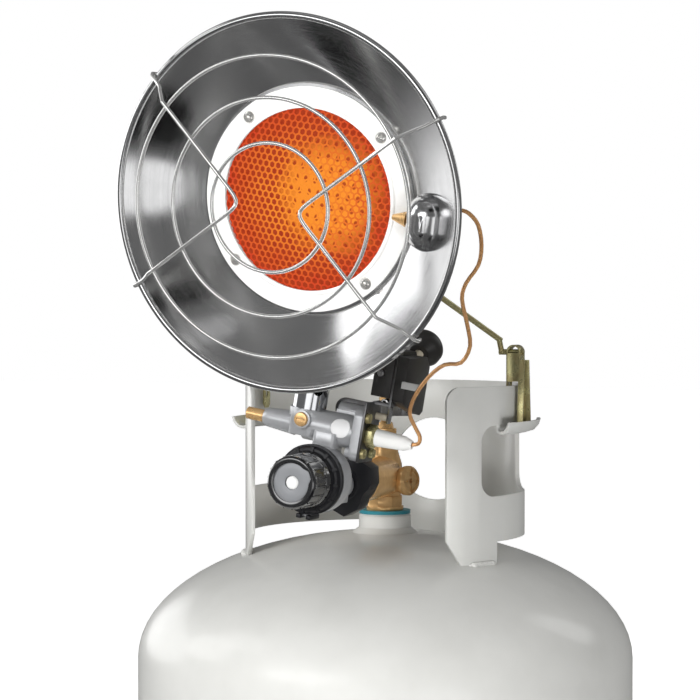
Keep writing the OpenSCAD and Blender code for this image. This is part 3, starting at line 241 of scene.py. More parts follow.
def calc(tree, operation, *values, clamp=False):
    """The result of one Math node; each value is a number or a socket."""
    return add_node(tree, "ShaderNodeMath", dict(enumerate(values)), operation=operation,
                    use_clamp=clamp).outputs[0]


def vector_calc(tree, operation, *values):
    """The result of one Vector Math node; each value is a vector or a socket."""
    node = add_node(tree, "ShaderNodeVectorMath", dict(enumerate(values)), operation=operation)
    return node.outputs["Value" if operation in ("DOT_PRODUCT", "LENGTH") else "Vector"]


def blend_colours(tree, factor, a, b):
    """One Mix node for colours; factor, a and b are values or sockets."""
    return add_node(tree, "ShaderNodeMix", {"Factor": factor, 6: a, 7: b},
                    data_type="RGBA").outputs[2]


def spread(tree, value, source, target, **options):
    """Maps a value from one range to another, clamped; an end of the target may be a socket."""
    return add_node(tree, "ShaderNodeMapRange",
                    {"Value": value, "From Min": source[0], "From Max": source[1],
                     "To Min": target[0], "To Max": target[1]}, **options).outputs["Result"]


def object_point(tree):
    """The shaded point in the object's own space."""
    return tree.nodes.new("ShaderNodeTexCoord").outputs["Object"]


def cloudy(tree, scale, detail, roughness):
    """Soft noise in the object's own space; scale is a number or a socket, in cycles per metre."""
    return add_node(tree, "ShaderNodeTexNoise",
                    {"Vector": object_point(tree), "Scale": scale, "Detail": detail,
                     "Roughness": roughness}).outputs["Fac"]


def group_in(tree, name, inputs):
    """Places a shared effect in a material and returns its outputs."""
    return add_node(tree, "ShaderNodeGroup", inputs, node_tree=bpy.data.node_groups[name]).outputs


def scaled(colour, factor):
    """A colour times one number, or times three numbers for red, green and blue."""
    factors = factor if isinstance(factor, tuple) else (factor,) * 3
    return tuple(c * f for c, f in zip(colour, factors))


# ---------------- shared effects

# What a skin effect puts out, each with its kind of socket
SKIN = {"Colour": "Color", "Roughness": "Float", "Height": "Float"}


def new_group(name, inputs, outputs):
    """A shader node group. The default of an input tells its kind: colour, vector or number."""
    group = bpy.data.node_groups.new(name, "ShaderNodeTree")
    kinds = {tuple: "Color", Vector: "Vector", float: "Float"}
    for label, default in inputs.items():
        socket = group.interface.new_socket(name=label, in_out="INPUT",
                                            socket_type="NodeSocket" + kinds[type(default)])
        socket.default_value = (*default, 1) if isinstance(default, tuple) else default
    for label, kind in outputs.items():
        group.interface.new_socket(name=label, in_out="OUTPUT", socket_type="NodeSocket" + kind)
    given = group.nodes.new("NodeGroupInput").outputs
    return group, given, group.nodes.new("NodeGroupOutput").inputs


def build_paint_film():
    """Enamel: soft clouds of a darker tone, and the faint orange peel of sprayed paint."""
    group, given, out = new_group(
        "Paint Film",
        {"Colour": (0.6, 0.6, 0.58), "Shade": (0.5, 0.5, 0.48), "Patch": 0.05, "Gloss": 0.2}, SKIN)
    patch = cloudy(group, calc(group, "DIVIDE", 1.0, given["Patch"]), 3.5, 0.55)
    mask = spread(group, patch, (0.42, 0.72), (0.0, 1.0))
    rub = spread(group, cloudy(group, 60.0, 4.0, 0.6), (0.45, 0.75), (0.0, 0.10))
    feed_all(group, out, {
        "Colour": blend_colours(group, mask, given["Colour"], given["Shade"]),
        "Roughness": calc(group, "ADD", given["Gloss"], rub),
        "Height": cloudy(group, 420.0, 1.0, 0.4)})


def build_handled_metal():
    """Bare metal that has been handled: a little tarnish, and patches that are less bright."""
    group, given, out = new_group(
        "Handled Metal",
        {"Colour": (0.6, 0.6, 0.6), "Tarnish": (0.4, 0.35, 0.3), "Amount": 0.3, "Bright": 0.2,
         "Dull": 0.4, "Size": 0.01}, SKIN)
    coarse = cloudy(group, calc(group, "DIVIDE", 1.0, given["Size"]), 4.0, 0.6)
    mask = spread(group, coarse, (0.40, 0.68), (0.0, 1.0))
    stain = calc(group, "MULTIPLY", mask, given["Amount"])
    feed_all(group, out, {
        "Colour": blend_colours(group, stain, given["Colour"], given["Tarnish"]),
        "Roughness": spread(group, coarse, (0.35, 0.7), (given["Bright"], given["Dull"])),
        "Height": cloudy(group, 1500.0, 3.0, 0.6)})


def build_cast_skin():
    """The sandy skin of a casting, darker in its pits."""
    group, given, out = new_group(
        "Cast Skin",
        {"Colour": (0.5, 0.5, 0.5), "Pits": (0.3, 0.3, 0.3), "Grain": 0.0012, "Roughness": 0.4},
        SKIN)
    sand = cloudy(group, calc(group, "DIVIDE", 1.0, given["Grain"]), 3.0, 0.65)
    broad = calc(group, "MULTIPLY", cloudy(group, 70.0, 3.0, 0.5), 0.6)
    pits = spread(group, calc(group, "ADD", sand, broad), (0.62, 1.0), (1.0, 0.0))
    rub = spread(group, sand, (0.3, 0.7), (-0.008, 0.012))
    feed_all(group, out, {
        "Colour": blend_colours(group, calc(group, "MULTIPLY", pits, 0.6), given["Colour"],
                                given["Pits"]),
        "Roughness": calc(group, "ADD", given["Roughness"], rub),
        "Height": sand})


def build_moulded_grain():
    """Moulded plastic or rubber: a fine grain, with a trace of dust where it faces up."""
    group, given, out = new_group(
        "Moulded Grain",
        {"Colour": (0.03, 0.03, 0.03), "Dust": (0.3, 0.29, 0.27), "Dusting": 0.1,
         "Grain": 0.0006, "Roughness": 0.4}, SKIN)
    normal = group.nodes.new("ShaderNodeNewGeometry").outputs["Normal"]
    up = add_node(group, "ShaderNodeSeparateXYZ", {0: normal}).outputs["Z"]
    clouds = spread(group, cloudy(group, 160.0, 4.0, 0.6), (0.35, 0.7), (0.2, 1.0))
    settle = calc(group, "MULTIPLY", spread(group, up, (0.1, 1.0), (0.0, 1.0)), clouds)
    dust = calc(group, "MULTIPLY", settle, given["Dusting"])
    grain = cloudy(group, calc(group, "DIVIDE", 1.0, given["Grain"]), 2.0, 0.5)
    rub = spread(group, grain, (0.3, 0.7), (-0.05, 0.08))
    feed_all(group, out, {
        "Colour": blend_colours(group, dust, given["Colour"], given["Dust"]),
        "Roughness": calc(group, "ADD", given["Roughness"], rub),
        "Height": grain})


def build_spun_rings():
    """Faint rings round an axis, as spinning or turning leaves them in metal."""
    group, given, out = new_group(
        "Spun Rings",
        {"Centre": Vector((0, 0, 0)), "Axis": Vector((0, 0, 1)), "Pitch": 0.002},
        {"Height": "Float", "Streak": "Float"})
    arm = vector_calc(group, "SUBTRACT", object_point(group), given["Centre"])
    along = vector_calc(group, "DOT_PRODUCT", arm, given["Axis"])
    whole = vector_calc(group, "LENGTH", arm)
    radius = calc(group, "SQRT", calc(group, "SUBTRACT", calc(group, "MULTIPLY", whole, whole),
                                      calc(group, "MULTIPLY", along, along)))
    streaks = add_node(group, "ShaderNodeTexNoise", noise_dimensions="1D")
    feed_all(group, streaks.inputs, {"W": calc(group, "DIVIDE", radius, given["Pitch"]),
                                     "Scale": 1.0, "Detail": 4.0, "Roughness": 0.7})
    feed_all(group, out, {"Height": streaks.outputs["Fac"], "Streak": streaks.outputs["Fac"]})


def build_heat_glow():
    """Glowing metal or ceramic: brightest round a hot centre, and uneven as real heat is."""
    group, given, out = new_group(
        "Heat Glow",
        {"Centre": Vector((0, 0, 0)), "Reach": 0.05, "Hot": (1, 0.4, 0.03),
         "Warm": (0.6, 0.05, 0.01), "Uneven": 0.3, "Core": 0.25},
        {"Colour": "Color"})
    arm = vector_calc(group, "SUBTRACT", object_point(group), given["Centre"])
    share = calc(group, "DIVIDE", vector_calc(group, "LENGTH", arm), given["Reach"])
    ripple = calc(group, "MULTIPLY", calc(group, "SUBTRACT", cloudy(group, 90.0, 4.0, 0.6), 0.5),
                  given["Uneven"])
    heat = calc(group, "DIVIDE",
                calc(group, "SUBTRACT", 1.0, calc(group, "ADD", share, ripple)),
                calc(group, "SUBTRACT", 1.0, given["Core"]), clamp=True)
    feed(group, out["Colour"], blend_colours(group, heat, given["Warm"], given["Hot"]))


# ---------------- materials

HOUSE_DUST = (0.34, 0.33, 0.31)


def blank_material(name, values):
    """A material with one Principled shader; returns it, its node tree and the shader's inputs."""
    material = bpy.data.materials.new(name)
    material.use_nodes = True
    tree = material.node_tree
    inputs = tree.nodes["Principled BSDF"].inputs
    feed_all(tree, inputs, values)
    return material, tree, inputs


def relief(tree, inputs, height, strength, distance):
    """Feeds the shader's normal with a bump; its distance is in metres."""
    bump = add_node(tree, "ShaderNodeBump",
                    {"Strength": strength, "Distance": distance, "Height": height})
    feed(tree, inputs["Normal"], bump.outputs["Normal"])


def skinned(name, effect, settings, strength, distance, values):
    """A material whose colour, roughness and relief come from one skin effect."""
    material, tree, inputs = blank_material(name, values)
    skin = group_in(tree, effect, settings)
    feed_all(tree, inputs, {"Base Color": skin["Colour"], "Roughness": skin["Roughness"]})
    relief(tree, inputs, skin["Height"], strength, distance)
    return material


def enamel(name, colour, shade, patch, gloss, coat=0.35, peel=0.00003):
    """Sprayed and baked paint."""
    return skinned(name, "Paint Film",
                   {"Colour": colour, "Shade": shade, "Patch": patch, "Gloss": gloss}, 0.35, peel,
                   {"Coat Weight": coat, "Coat Roughness": 0.04, "Specular IOR Level": 0.3})


def bare_metal(name, colour, tarnish, amount, bright, dull, size=0.008, bump=0.00001,
               metallic=1.0):
    """Turned, drawn, stamped or plated metal, from its bright to its dull roughness."""
    return skinned(name, "Handled Metal",
                   {"Colour": colour, "Tarnish": tarnish, "Amount": amount, "Bright": bright,
                    "Dull": dull, "Size": size}, 0.3, bump, {"Metallic": metallic})


def casting(name, colour, pits, grain, roughness, metallic, bump):
    """Cast or forged metal."""
    return skinned(name, "Cast Skin",
                   {"Colour": colour, "Pits": pits, "Grain": grain, "Roughness": roughness},
                   0.5, bump, {"Metallic": metallic})


def moulding(name, colour, roughness, dusting, grain=0.0006, bump=0.00003, coat=0.0,
             coat_ior=1.5):
    """Moulded plastic, rubber or paper."""
    return skinned(name, "Moulded Grain",
                   {"Colour": colour, "Dust": HOUSE_DUST, "Dusting": dusting,
                    "Grain": grain, "Roughness": roughness}, 0.4, bump,
                   {"Coat Weight": coat, "Coat Roughness": 0.05, "Coat IOR": coat_ior})


def spun_steel(name, colour, pitch, bright, dull):
    """Polished bowl steel with faint spinning marks."""
    material, tree, inputs = blank_material(name, {"Metallic": 1.0})
    metal = group_in(tree, "Handled Metal",
                     {"Colour": colour, "Tarnish": scaled(colour, 0.8), "Amount": 0.35,
                      "Bright": bright, "Dull": dull, "Size": 0.03})
    rings = group_in(tree, "Spun Rings", {"Centre": BOWL_CENTRE, "Axis": BOWL_OUT, "Pitch": pitch})
    streak = spread(tree, rings["Streak"], (0.3, 0.7), (-0.02, 0.05))
    feed_all(tree, inputs, {"Base Color": metal["Colour"],
                            "Roughness": calc(tree, "ADD", metal["Roughness"], streak)})
    relief(tree, inputs, rings["Height"], 0.2, 0.000008)
    return material


def glowing(name, base, roughness, strength, **heat):
    """Hot metal or ceramic that gives light; returns what blank_material does, and the heat."""
    material, tree, inputs = blank_material(name, {
        "Base Color": base, "Roughness": roughness, "Specular IOR Level": 0.0,
        "Emission Strength": strength})
    return material, tree, inputs, group_in(tree, "Heat Glow", heat)


def light_only(name, strength_of):
    """A material that only gives white light; strength_of(tree) makes its strength."""
    material = bpy.data.materials.new(name)
    material.use_nodes = True
    tree = material.node_tree
    tree.nodes.clear()
    glow = add_node(tree, "ShaderNodeEmission", {"Color": WHITE, "Strength": strength_of(tree)})
    add_node(tree, "ShaderNodeOutputMaterial", {"Surface": glow.outputs[0]})
    return material


def finish(material, rounding, *names, crease=CREASE):
    """Gives CAD nodes a material and smooth faces and, as modifiers only, fine rounded edges."""
    for name in names:
        node = NODES[name]
        node.data.materials.clear()
        node.data.materials.append(material)
        for face in node.data.polygons:
            face.use_smooth = True
        weld = node.modifiers.new("Join faces", "WELD")
        weld.merge_threshold = JOIN_GAP
        if rounding:
            edge = node.modifiers.new("Rounded edges", "BEVEL")
            edge.width = rounding
            edge.segments = 2
            edge.limit_method = "ANGLE"
            edge.angle_limit = math.radians(crease)
        split = node.modifiers.new("Crisp edges", "EDGE_SPLIT")
        split.split_angle = math.radians(crease)


# ---------------- mesh helpers


def circle(radius, steps):
    """Points round the origin, as pairs of x and y."""
    turns = [FULL_TURN * k / steps for k in range(steps)]
    return [(radius * math.cos(a), radius * math.sin(a)) for a in turns]


def disc(radius, rings, steps):
    """The middle of a disc and the rings of points round it."""
    return [[(0, 0)]] + [circle(radius * i / rings, steps) for i in range(1, rings + 1)]


def bridge(bm, loops):
    """Joins each loop of points to the next with faces; a loop may be a single point."""
    for low, high in zip(loops, loops[1:]):
        steps = max(len(low), len(high))
        for k in range(steps):
            n = (k + 1) % steps
            if len(low) == 1:
                bm.faces.new((low[0], high[k], high[n]))
            elif len(high) == 1:
                bm.faces.new((low[k], low[n], high[0]))
            else:
                bm.faces.new((low[k], low[n], high[n], high[k]))


def finished_mesh(name, bm, material, smooth=True, outward=True):
    """Turns a bmesh into an object with one material; outward makes its faces look out."""
    if outward:
        bmesh.ops.recalc_face_normals(bm, faces=bm.faces)
    mesh = bpy.data.meshes.new(name)
    bm.to_mesh(mesh)
    bm.free()
    mesh.materials.append(material)
    for face in mesh.polygons:
        face.use_smooth = smooth
    piece = bpy.data.objects.new(name, mesh)
    bpy.context.scene.collection.objects.link(piece)
    return piece


# ---------------- finishes


class HEATER_OT_shared_effects(bpy.types.Operator):
    """Builds the shader groups that the finishes share"""

    bl_idname = "heater.shared_effects"
    bl_label = "Shared effects"

    def execute(self, context):
        build_paint_film()
        build_handled_metal()
        build_cast_skin()
        build_moulded_grain()
        build_spun_rings()
        build_heat_glow()
        return {"FINISHED"}


class HEATER_OT_paint_cylinder(bpy.types.Operator):
    """Paints the gas cylinder with its collar and foot ring"""

    bl_idname = "heater.paint_cylinder"
    bl_label = "Paint the cylinder"

    def execute(self, context):
        s = context.scene.heater_paint
        paint = enamel("Cylinder enamel", s.cylinder_colour, s.cylinder_shade, s.mottle_size,
                       gloss=0.30)
        finish(paint, PLAIN, "upper_shell", "lower_shell", "foot_ring", "neck_flange")
        finish(paint, CAST, "collar")
        return {"FINISHED"}


class HEATER_OT_finish_brass(bpy.types.Operator):
    """Finishes the forged valve and the turned brass parts"""

    bl_idname = "heater.finish_brass"
    bl_label = "Finish the brass"

    def execute(self, context):
        colour = context.scene.heater_paint.brass_colour
        forged = casting("Forged brass", scaled(colour, 1.05), scaled(colour, 0.72), grain=0.0045,
                         roughness=0.22, metallic=0.6, bump=0.00004)
        finish(forged, TURNED, "valve_body", "relief_valve")
        turned = bare_metal("Turned brass", colour, scaled(colour, 0.6), amount=0.5, bright=0.16,
                            dull=0.34, metallic=0.6)
        finish(turned, TURNED, "valve_bonnet", "plug_screw", "thermocouple_nut", "bleeder_screw")
        finish(turned, PLAIN, "valve_stem", "dip_tube", "coupling_plug", "inlet_nipple",
               "side_pipe", "gas_jet", "thermocouple")
        teal = moulding("Teal seal", (0.03, 0.22, 0.27), roughness=0.45, dusting=0.05)
        finish(teal, PLAIN, "valve_seal", "diaphragm")
        return {"FINISHED"}


class HEATER_OT_finish_castings(bpy.types.Operator):
    """Finishes the cast manifold, the regulator body, the mixer tube and the bare steel parts"""

    bl_idname = "heater.finish_castings"
    bl_label = "Finish the castings"

    def execute(self, context):
        colour = context.scene.heater_paint.casting_colour
        cast = casting("Cast alloy", scaled(colour, 0.72), scaled(colour, 0.64), grain=0.0035,
                       roughness=0.30, metallic=0.5, bump=0.000008)
        finish(cast, CAST, "regulator_body", "manifold", "end_flange")
        tube = bare_metal("Plated tube", (0.70, 0.71, 0.73), (0.5, 0.5, 0.52), amount=0.3,
                          bright=0.05, dull=0.12, size=0.012, bump=0.000004)
        finish(tube, PLAIN, "mixer_tube")
        steel = bare_metal("Bare steel", (0.42, 0.42, 0.43), (0.25, 0.23, 0.21), amount=0.5,
                           bright=0.25, dull=0.42)
        finish(steel, CAST, "valve_wheel")
        finish(steel, THIN, "cover_screw", "tip_pendulum")
        finish(steel, PLAIN, "safety_magnet", "bail_pin")
        dark = bare_metal("Oiled steel", (0.20, 0.20, 0.205), (0.10, 0.09, 0.08), amount=0.5,
                          bright=0.30, dull=0.45)
        finish(dark, THIN, "switch_bracket", "bail_bracket")
        bright = bare_metal("Spring steel", (0.62, 0.62, 0.62), (0.4, 0.39, 0.37), amount=0.3,
                            bright=0.12, dull=0.25)
        finish(bright, THIN, "safety_lever")
        finish(bright, PLAIN, "regulator_spring", "button_spring")
        return {"FINISHED"}


class HEATER_OT_finish_controls(bpy.types.Operator):
    """Finishes the black controls, the dial, the switch and the white boot"""

    bl_idname = "heater.finish_controls"
    bl_label = "Finish the controls"

    def execute(self, context):
        matt = moulding("Matt black moulding", (0.007, 0.007, 0.009), roughness=0.42, dusting=0.01)
        finish(matt, CAST, "coupling_wheel", "regulator_bonnet", "bonnet_latch")
        gloss = moulding("Gloss black moulding", (0.005, 0.005, 0.006), roughness=0.14,
                         dusting=0.004, grain=0.002, bump=0.00001, coat=1.0, coat_ior=1.9)
        finish(gloss, CAST, "control_knob")
        dial = moulding("Grey dial", (0.20, 0.205, 0.215), roughness=0.34, dusting=0.05)
        finish(dial, CAST, "knob_dial")
        switch = moulding("Switch moulding", (0.018, 0.017, 0.016), roughness=0.36, dusting=0.03)
        finish(switch, CAST, "switch_housing", "switch_cover")
        finish(switch, PLAIN, "push_button")
        boot = moulding("White boot rubber", (0.78, 0.78, 0.76), roughness=0.42, dusting=0.05)
        finish(boot, PLAIN, "lead_boot")
        clip = moulding("Clip moulding", (0.40, 0.40, 0.39), roughness=0.45, dusting=0.05)
        finish(clip, PLAIN, "lead_clip")
        cream = moulding("Cream moulding", (0.60, 0.54, 0.42), roughness=0.4, dusting=0.05)
        finish(cream, PLAIN, "button_stem", "safety_plunger")
        return {"FINISHED"}


class HEATER_OT_finish_bowl(bpy.types.Operator):
    """Polishes the bowl and the guard, and enamels the burner ring"""

    bl_idname = "heater.finish_bowl"
    bl_label = "Polish the bowl"

    def execute(self, context):
        s = context.scene.heater_bowl
        bowl = spun_steel("Polished bowl", s.steel_colour, s.ring_pitch, bright=0.10, dull=0.17)
        finish(bowl, PLAIN, "reflector", crease=BOWL_CREASE)
        wire = bare_metal("Guard wire", s.wire_colour, (0.5, 0.49, 0.47), amount=0.3, bright=0.14,
                          dull=0.24, metallic=0.8)
        finish(wire, PLAIN, "guard_rings", "guard_wires", crease=BOWL_CREASE)
        white = enamel("White enamel", (0.90, 0.895, 0.88), (0.86, 0.85, 0.82), patch=0.02,
                       gloss=0.22, coat=0.4, peel=0.00002)
        finish(white, PLAIN, "burner_pan", crease=BOWL_CREASE)
        finish(white, TURNED, "burner_ring", crease=BOWL_CREASE)
        heads = bare_metal("Ring screws", (0.84, 0.83, 0.80), (0.40, 0.37, 0.33), amount=0.5,
                           bright=0.10, dull=0.22, metallic=0.75)
        finish(heads, PLAIN, "ring_screws")
        return {"FINISHED"}


class HEATER_OT_finish_bail(bpy.types.Operator):
    """Finishes the bail, its clips, the flange screws and the copper lead"""

    bl_idname = "heater.finish_bail"
    bl_label = "Finish the bail"

    def execute(self, context):
        colour = context.scene.heater_paint.zinc_colour
        zinc = bare_metal("Olive zinc", colour, scaled(colour, (0.75, 0.6, 0.55)), amount=0.7,
                          bright=0.22, dull=0.4, metallic=0.7)
        finish(zinc, THIN, "clip_right", "clip_left", "magnet_nut", "flange_screws")
        finish(zinc, PLAIN, "support_bail")
        copper = bare_metal("Drawn copper", (0.74, 0.40, 0.17), (0.42, 0.20, 0.09), amount=0.5,
                            bright=0.2, dull=0.36, metallic=0.5)
        finish(copper, PLAIN, "thermocouple_lead")
        return {"FINISHED"}


# ---------------- pieces


class HEATER_OT_burner_screen(bpy.types.Operator):
    """Makes the glowing six-sided screen over the burner"""

    bl_idname = "heater.burner_screen"
    bl_label = "Burner screen"

    # In millimetres: the screen's edge, and how far that stands off the bowl's middle
    edge = 53.0
    foot = 0.3
    # How far apart the rows of six-sided cells are, as a share of a cell's pitch
    row_share = 0.866025

    def execute(self, context):
        s = context.scene.heater_burner
        bm = bmesh.new()
        self.weave(bm, s.cell / MM, s.strand / MM, s.dome / MM)
        bmesh.ops.delete(bm, geom=[v for v in bm.verts if not v.link_faces], context="VERTS")
        bmesh.ops.remove_doubles(bm, verts=bm.verts, dist=0.00002)
        material, tree, inputs, heat = glowing(
            "Glowing screen", (0.08, 0.02, 0.01), 0.6, s.glow,
            Centre=on_bowl(0, 2, 4), Reach=0.053, Hot=scaled(s.hot_colour, (0.95, 0.80, 0.9)),
            Warm=scaled(s.edge_colour, (1.0, 1.0, 1.6)), Uneven=0.55, Core=0.2)
        feed(tree, inputs["Emission Color"], heat["Colour"])
        piece = finished_mesh("glowing_screen", bm, material, smooth=False)
        wall = piece.modifiers.new("Strand depth", "SOLIDIFY")
        wall.thickness = 0.0007
        wall.offset = -1
        piece.visible_glossy = False
        piece.visible_diffuse = False
        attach(piece, "heater")
        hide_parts("burner_screen")
        return {"FINISHED"}

    def weave(self, bm, cell, strand, dome):
        """Six-sided frames side by side, cut off at the screen's edge."""
        pitch = cell + strand
        row = pitch * self.row_share
        corner = pitch / math.sqrt(3)
        inner = corner - strand / math.sqrt(3)
        turns = [math.radians(30 + 60 * k) for k in range(6)]

        def put(x, y):
            radius = math.hypot(x, y)
            if radius > self.edge:
                x, y = x * self.edge / radius, y * self.edge / radius
            rise = dome * (1 - min(radius / self.edge, 1) ** 2.2)
            return bm.verts.new(on_bowl(x, y, self.foot + rise))

        rows = int(self.edge / row) + 1
        for j in range(-rows, rows + 1):
            for i in range(-rows - 1, rows + 2):
                cx, cy = pitch * (i + 0.5 * (j % 2)), row * j
                if math.hypot(cx, cy) > self.edge + 0.3 * pitch:
                    continue
                rim = [put(cx + corner * math.cos(a), cy + corner * math.sin(a)) for a in turns]
                lip = [put(cx + inner * math.cos(a), cy + inner * math.sin(a)) for a in turns]
                for k in range(6):
                    n = (k + 1) % 6
                    quad = (rim[k], rim[n], lip[n], lip[k])
                    if len({tuple(round(c, 7) for c in v.co) for v in quad}) == 4:
                        bm.faces.new(quad)


class HEATER_OT_burner_plaque(bpy.types.Operator):
    """Makes the hot perforated cup behind the screen"""

    bl_idname = "heater.burner_plaque"
    bl_label = "Burner cup"

    # In millimetres: the cup's edge, back and floor, its wall, and the knoll in its floor
    edge, back, floor = 54.2, -14.4, -13.6
    wall_radius, wall_spread, wall_height = 47.5, 1.3, 10.8
    knoll, knoll_radius, knoll_height = (8.0, 2.5), 33, 7.0
    # In metres: how far apart the holes are, across and up
    hole_pitch = (0.0062, 0.0072)

    def execute(self, context):
        s = context.scene.heater_burner
        bm = bmesh.new()
        loops = [[bm.verts.new(on_bowl(x, y, self.depth(x, y))) for x, y in ring]
                 for ring in disc(self.edge, 40, 96)]
        loops.append([bm.verts.new(on_bowl(x, y, self.back)) for x, y in circle(self.edge, 96)])
        bridge(bm, loops)
        bm.faces.new(loops[-1])
        material, tree, inputs, heat = glowing(
            "Glowing cup", (0.10, 0.03, 0.015), 0.8, s.glow,
            Centre=on_bowl(*self.knoll, -9), Reach=0.037,
            Hot=scaled(s.hot_colour, (0.96, 0.80, 0.8)), Warm=scaled(s.edge_colour, 0.6),
            Uneven=0.55, Core=0.55)
        holes = self.hole_mask(tree)
        feed(tree, inputs["Emission Color"],
             blend_colours(tree, calc(tree, "MULTIPLY", holes, 0.9), heat["Colour"],
                           (0.33, 0.022, 0.005)))
        relief(tree, inputs, calc(tree, "SUBTRACT", 1.0, holes), 0.6, 0.0006)
        piece = finished_mesh("glowing_cup", bm, material)
        piece.visible_glossy = False
        piece.visible_diffuse = False
        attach(piece, "heater")
        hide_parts("burner_plaque")
        return {"FINISHED"}

    def depth(self, x, y):
        """Height of the cup's face: a flat floor, a knoll in it and a steep wall at the edge."""
        wall = 1 / (1 + math.exp(-(math.hypot(x, y) - self.wall_radius) / self.wall_spread))
        away = math.hypot(x - self.knoll[0], y - self.knoll[1]) / self.knoll_radius
        knoll = max(0.0, 1 - away ** 2) ** 0.5
        return self.floor + self.wall_height * wall + self.knoll_height * knoll * (1 - wall)

    def hole_mask(self, tree):
        """Staggered rows of small oval holes across the cup."""
        arm = vector_calc(tree, "SUBTRACT", object_point(tree), BOWL_CENTRE)
        u, v = (calc(tree, "DIVIDE", vector_calc(tree, "DOT_PRODUCT", arm, axis), pitch)
                for axis, pitch in zip((BOWL_RIGHT, BOWL_UP), self.hole_pitch))
        odd = calc(tree, "MULTIPLY", calc(tree, "FLOORED_MODULO", calc(tree, "FLOOR", v), 2.0), 0.5)
        across = calc(tree, "SUBTRACT", calc(tree, "FRACT", calc(tree, "ADD", u, odd)), 0.5)
        upward = calc(tree, "SUBTRACT", calc(tree, "FRACT", v), 0.5)
        size = calc(tree, "SQRT", calc(
            tree, "ADD", calc(tree, "MULTIPLY", calc(tree, "POWER", across, 2.0), 1.6),
            calc(tree, "POWER", upward, 2.0)))
        return spread(tree, size, (0.20, 0.32), (1.0, 0.0))


class HEATER_OT_weld_beads(bpy.types.Operator):
    """Lays the weld beads along the collar's feet"""

    bl_idname = "heater.weld_beads"
    bl_label = "Weld beads"

    # Rings along a bead and points round it, how far it sways in millimetres, and how much its
    # width ripples and wanders
    rings, sides = 44, 10
    sway, ripple, wander = 0.5, 0.12, 0.2

    def execute(self, context):
        half = context.scene.heater_trim.bead / MM / 2
        arcs = [(side * start, side * stop, radius) for side in (-1, 1) for radius in SHEET_SIDES
                for start, stop in FOOT_ARCS]
        bm = bmesh.new()
        for number, arc in enumerate(arcs):
            self.bead(bm, number, *arc, half)
        piece = finished_mesh("weld_beads", bm, NODES["collar"].data.materials[0])
        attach(piece, "heater")
        return {"FINISHED"}

    def bead(self, bm, number, start, stop, radius, half):
        """One rippled bead on the dome, from angle to angle, measured from the front."""
        up = Vector((0, 0, 1))
        loops = []
        for i in range(self.rings + 1):
            share = i / self.rings
            a = math.radians(start + (stop - start) * share)
            wobble = noise.noise(Vector((number * 7.3, share * 9, 0)))
            r = radius + self.sway * wobble
            end = min(1.0, 6 * share, 6 * (1 - share)) ** 0.5 if 0 < share < 1 else 0.05
            wave = self.ripple * math.sin(i * 1.9 + number)
            width = half * end * (1 + wave + self.wander * wobble)
            centre = Vector((r * math.sin(a), -r * math.cos(a), dome_height(r) + 0.2)) * MM
            out = Vector((math.sin(a), -math.cos(a), 0))
            loops.append([bm.verts.new(centre + (out * x + up * y * 0.8) * width * MM)
                          for x, y in circle(1, self.sides)])
        bridge(bm, loops)
        bm.faces.new(loops[0])
        bm.faces.new(loops[-1])


class HEATER_OT_dial_hub(bpy.types.Operator):
    """Makes the white domed hub in the middle of the dial"""

    bl_idname = "heater.dial_hub"
    bl_label = "Dial hub"

    def execute(self, context):
        radius = context.scene.heater_trim.hub / MM / 2
        low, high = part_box("knob_dial")
        centre = (low + high) / 2
        front = -low.y / MM
        # Radius and height of the turned shape, from its root in the dial to the top of its dome
        profile = ((0, -2.2), (radius, -2.2), (radius, 0.1), (radius - 0.25, 0.5),
                   (radius * 0.7, 0.9), (radius * 0.35, 1.1), (0, 1.15))
        bm = bmesh.new()
        bridge(bm, [[bm.verts.new((centre.x + x * MM, -(front + z) * MM, centre.z + y * MM))
                     for x, y in (circle(r, 36) if r else [(0, 0)])] for r, z in profile])
        white = moulding("White hub", (0.72, 0.72, 0.71), roughness=0.3, dusting=0.02)
        piece = finished_mesh("dial_hub", bm, white)
        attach(piece, "knob")
        return {"FINISHED"}


class HEATER_OT_blank_sticker(bpy.types.Operator):
    """Lays the blank round sticker on the cast barrel"""

    bl_idname = "heater.blank_sticker"
    bl_label = "Blank sticker"

    # The barrel's radius, its middle, where the sticker is along it and how far it is turned up
    barrel = 10.0
    middle = (-98, 36.6)
    along = 9.0
    turn = math.radians(14)

    def execute(self, context):
        radius = context.scene.heater_trim.seal_disc / MM / 2
        bm = bmesh.new()
        bridge(bm, [[bm.verts.new(self.wrapped(x, y)) for x, y in ring]
                    for ring in disc(radius, 8, 36)])
        paper = moulding("Sticker paper", (0.80, 0.80, 0.80), roughness=0.5, dusting=0.0)
        piece = finished_mesh("blank_sticker", bm, paper)
        thick = piece.modifiers.new("Paper thickness", "SOLIDIFY")
        thick.thickness = 0.00015
        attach(piece, "heater")
        return {"FINISHED"}

    def wrapped(self, across, climb):
        """A point of the flat sticker, laid round the barrel."""
        angle = self.turn + climb / self.barrel
        lift = self.barrel + 0.12
        y, z = self.middle
        return on_head(self.along + across, y - lift * math.cos(angle), z + lift * math.sin(angle))


class HEATER_OT_button_coil(bpy.types.Operator):
    """Copies the button's spring into a coil object of its own and hides the original spring"""

    bl_idname = "heater.button_coil"
    bl_label = "Button spring"

    def execute(self, context):
        node = NODES["button_spring"]
        coil = bpy.data.objects.new("button_coil", node.data.copy())
        coil.matrix_world = node.matrix_world.copy()
        context.scene.collection.objects.link(coil)
        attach(coil, "heater")
        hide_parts("button_spring")
        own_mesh(coil)
        return {"FINISHED"}


# ---------------- stage

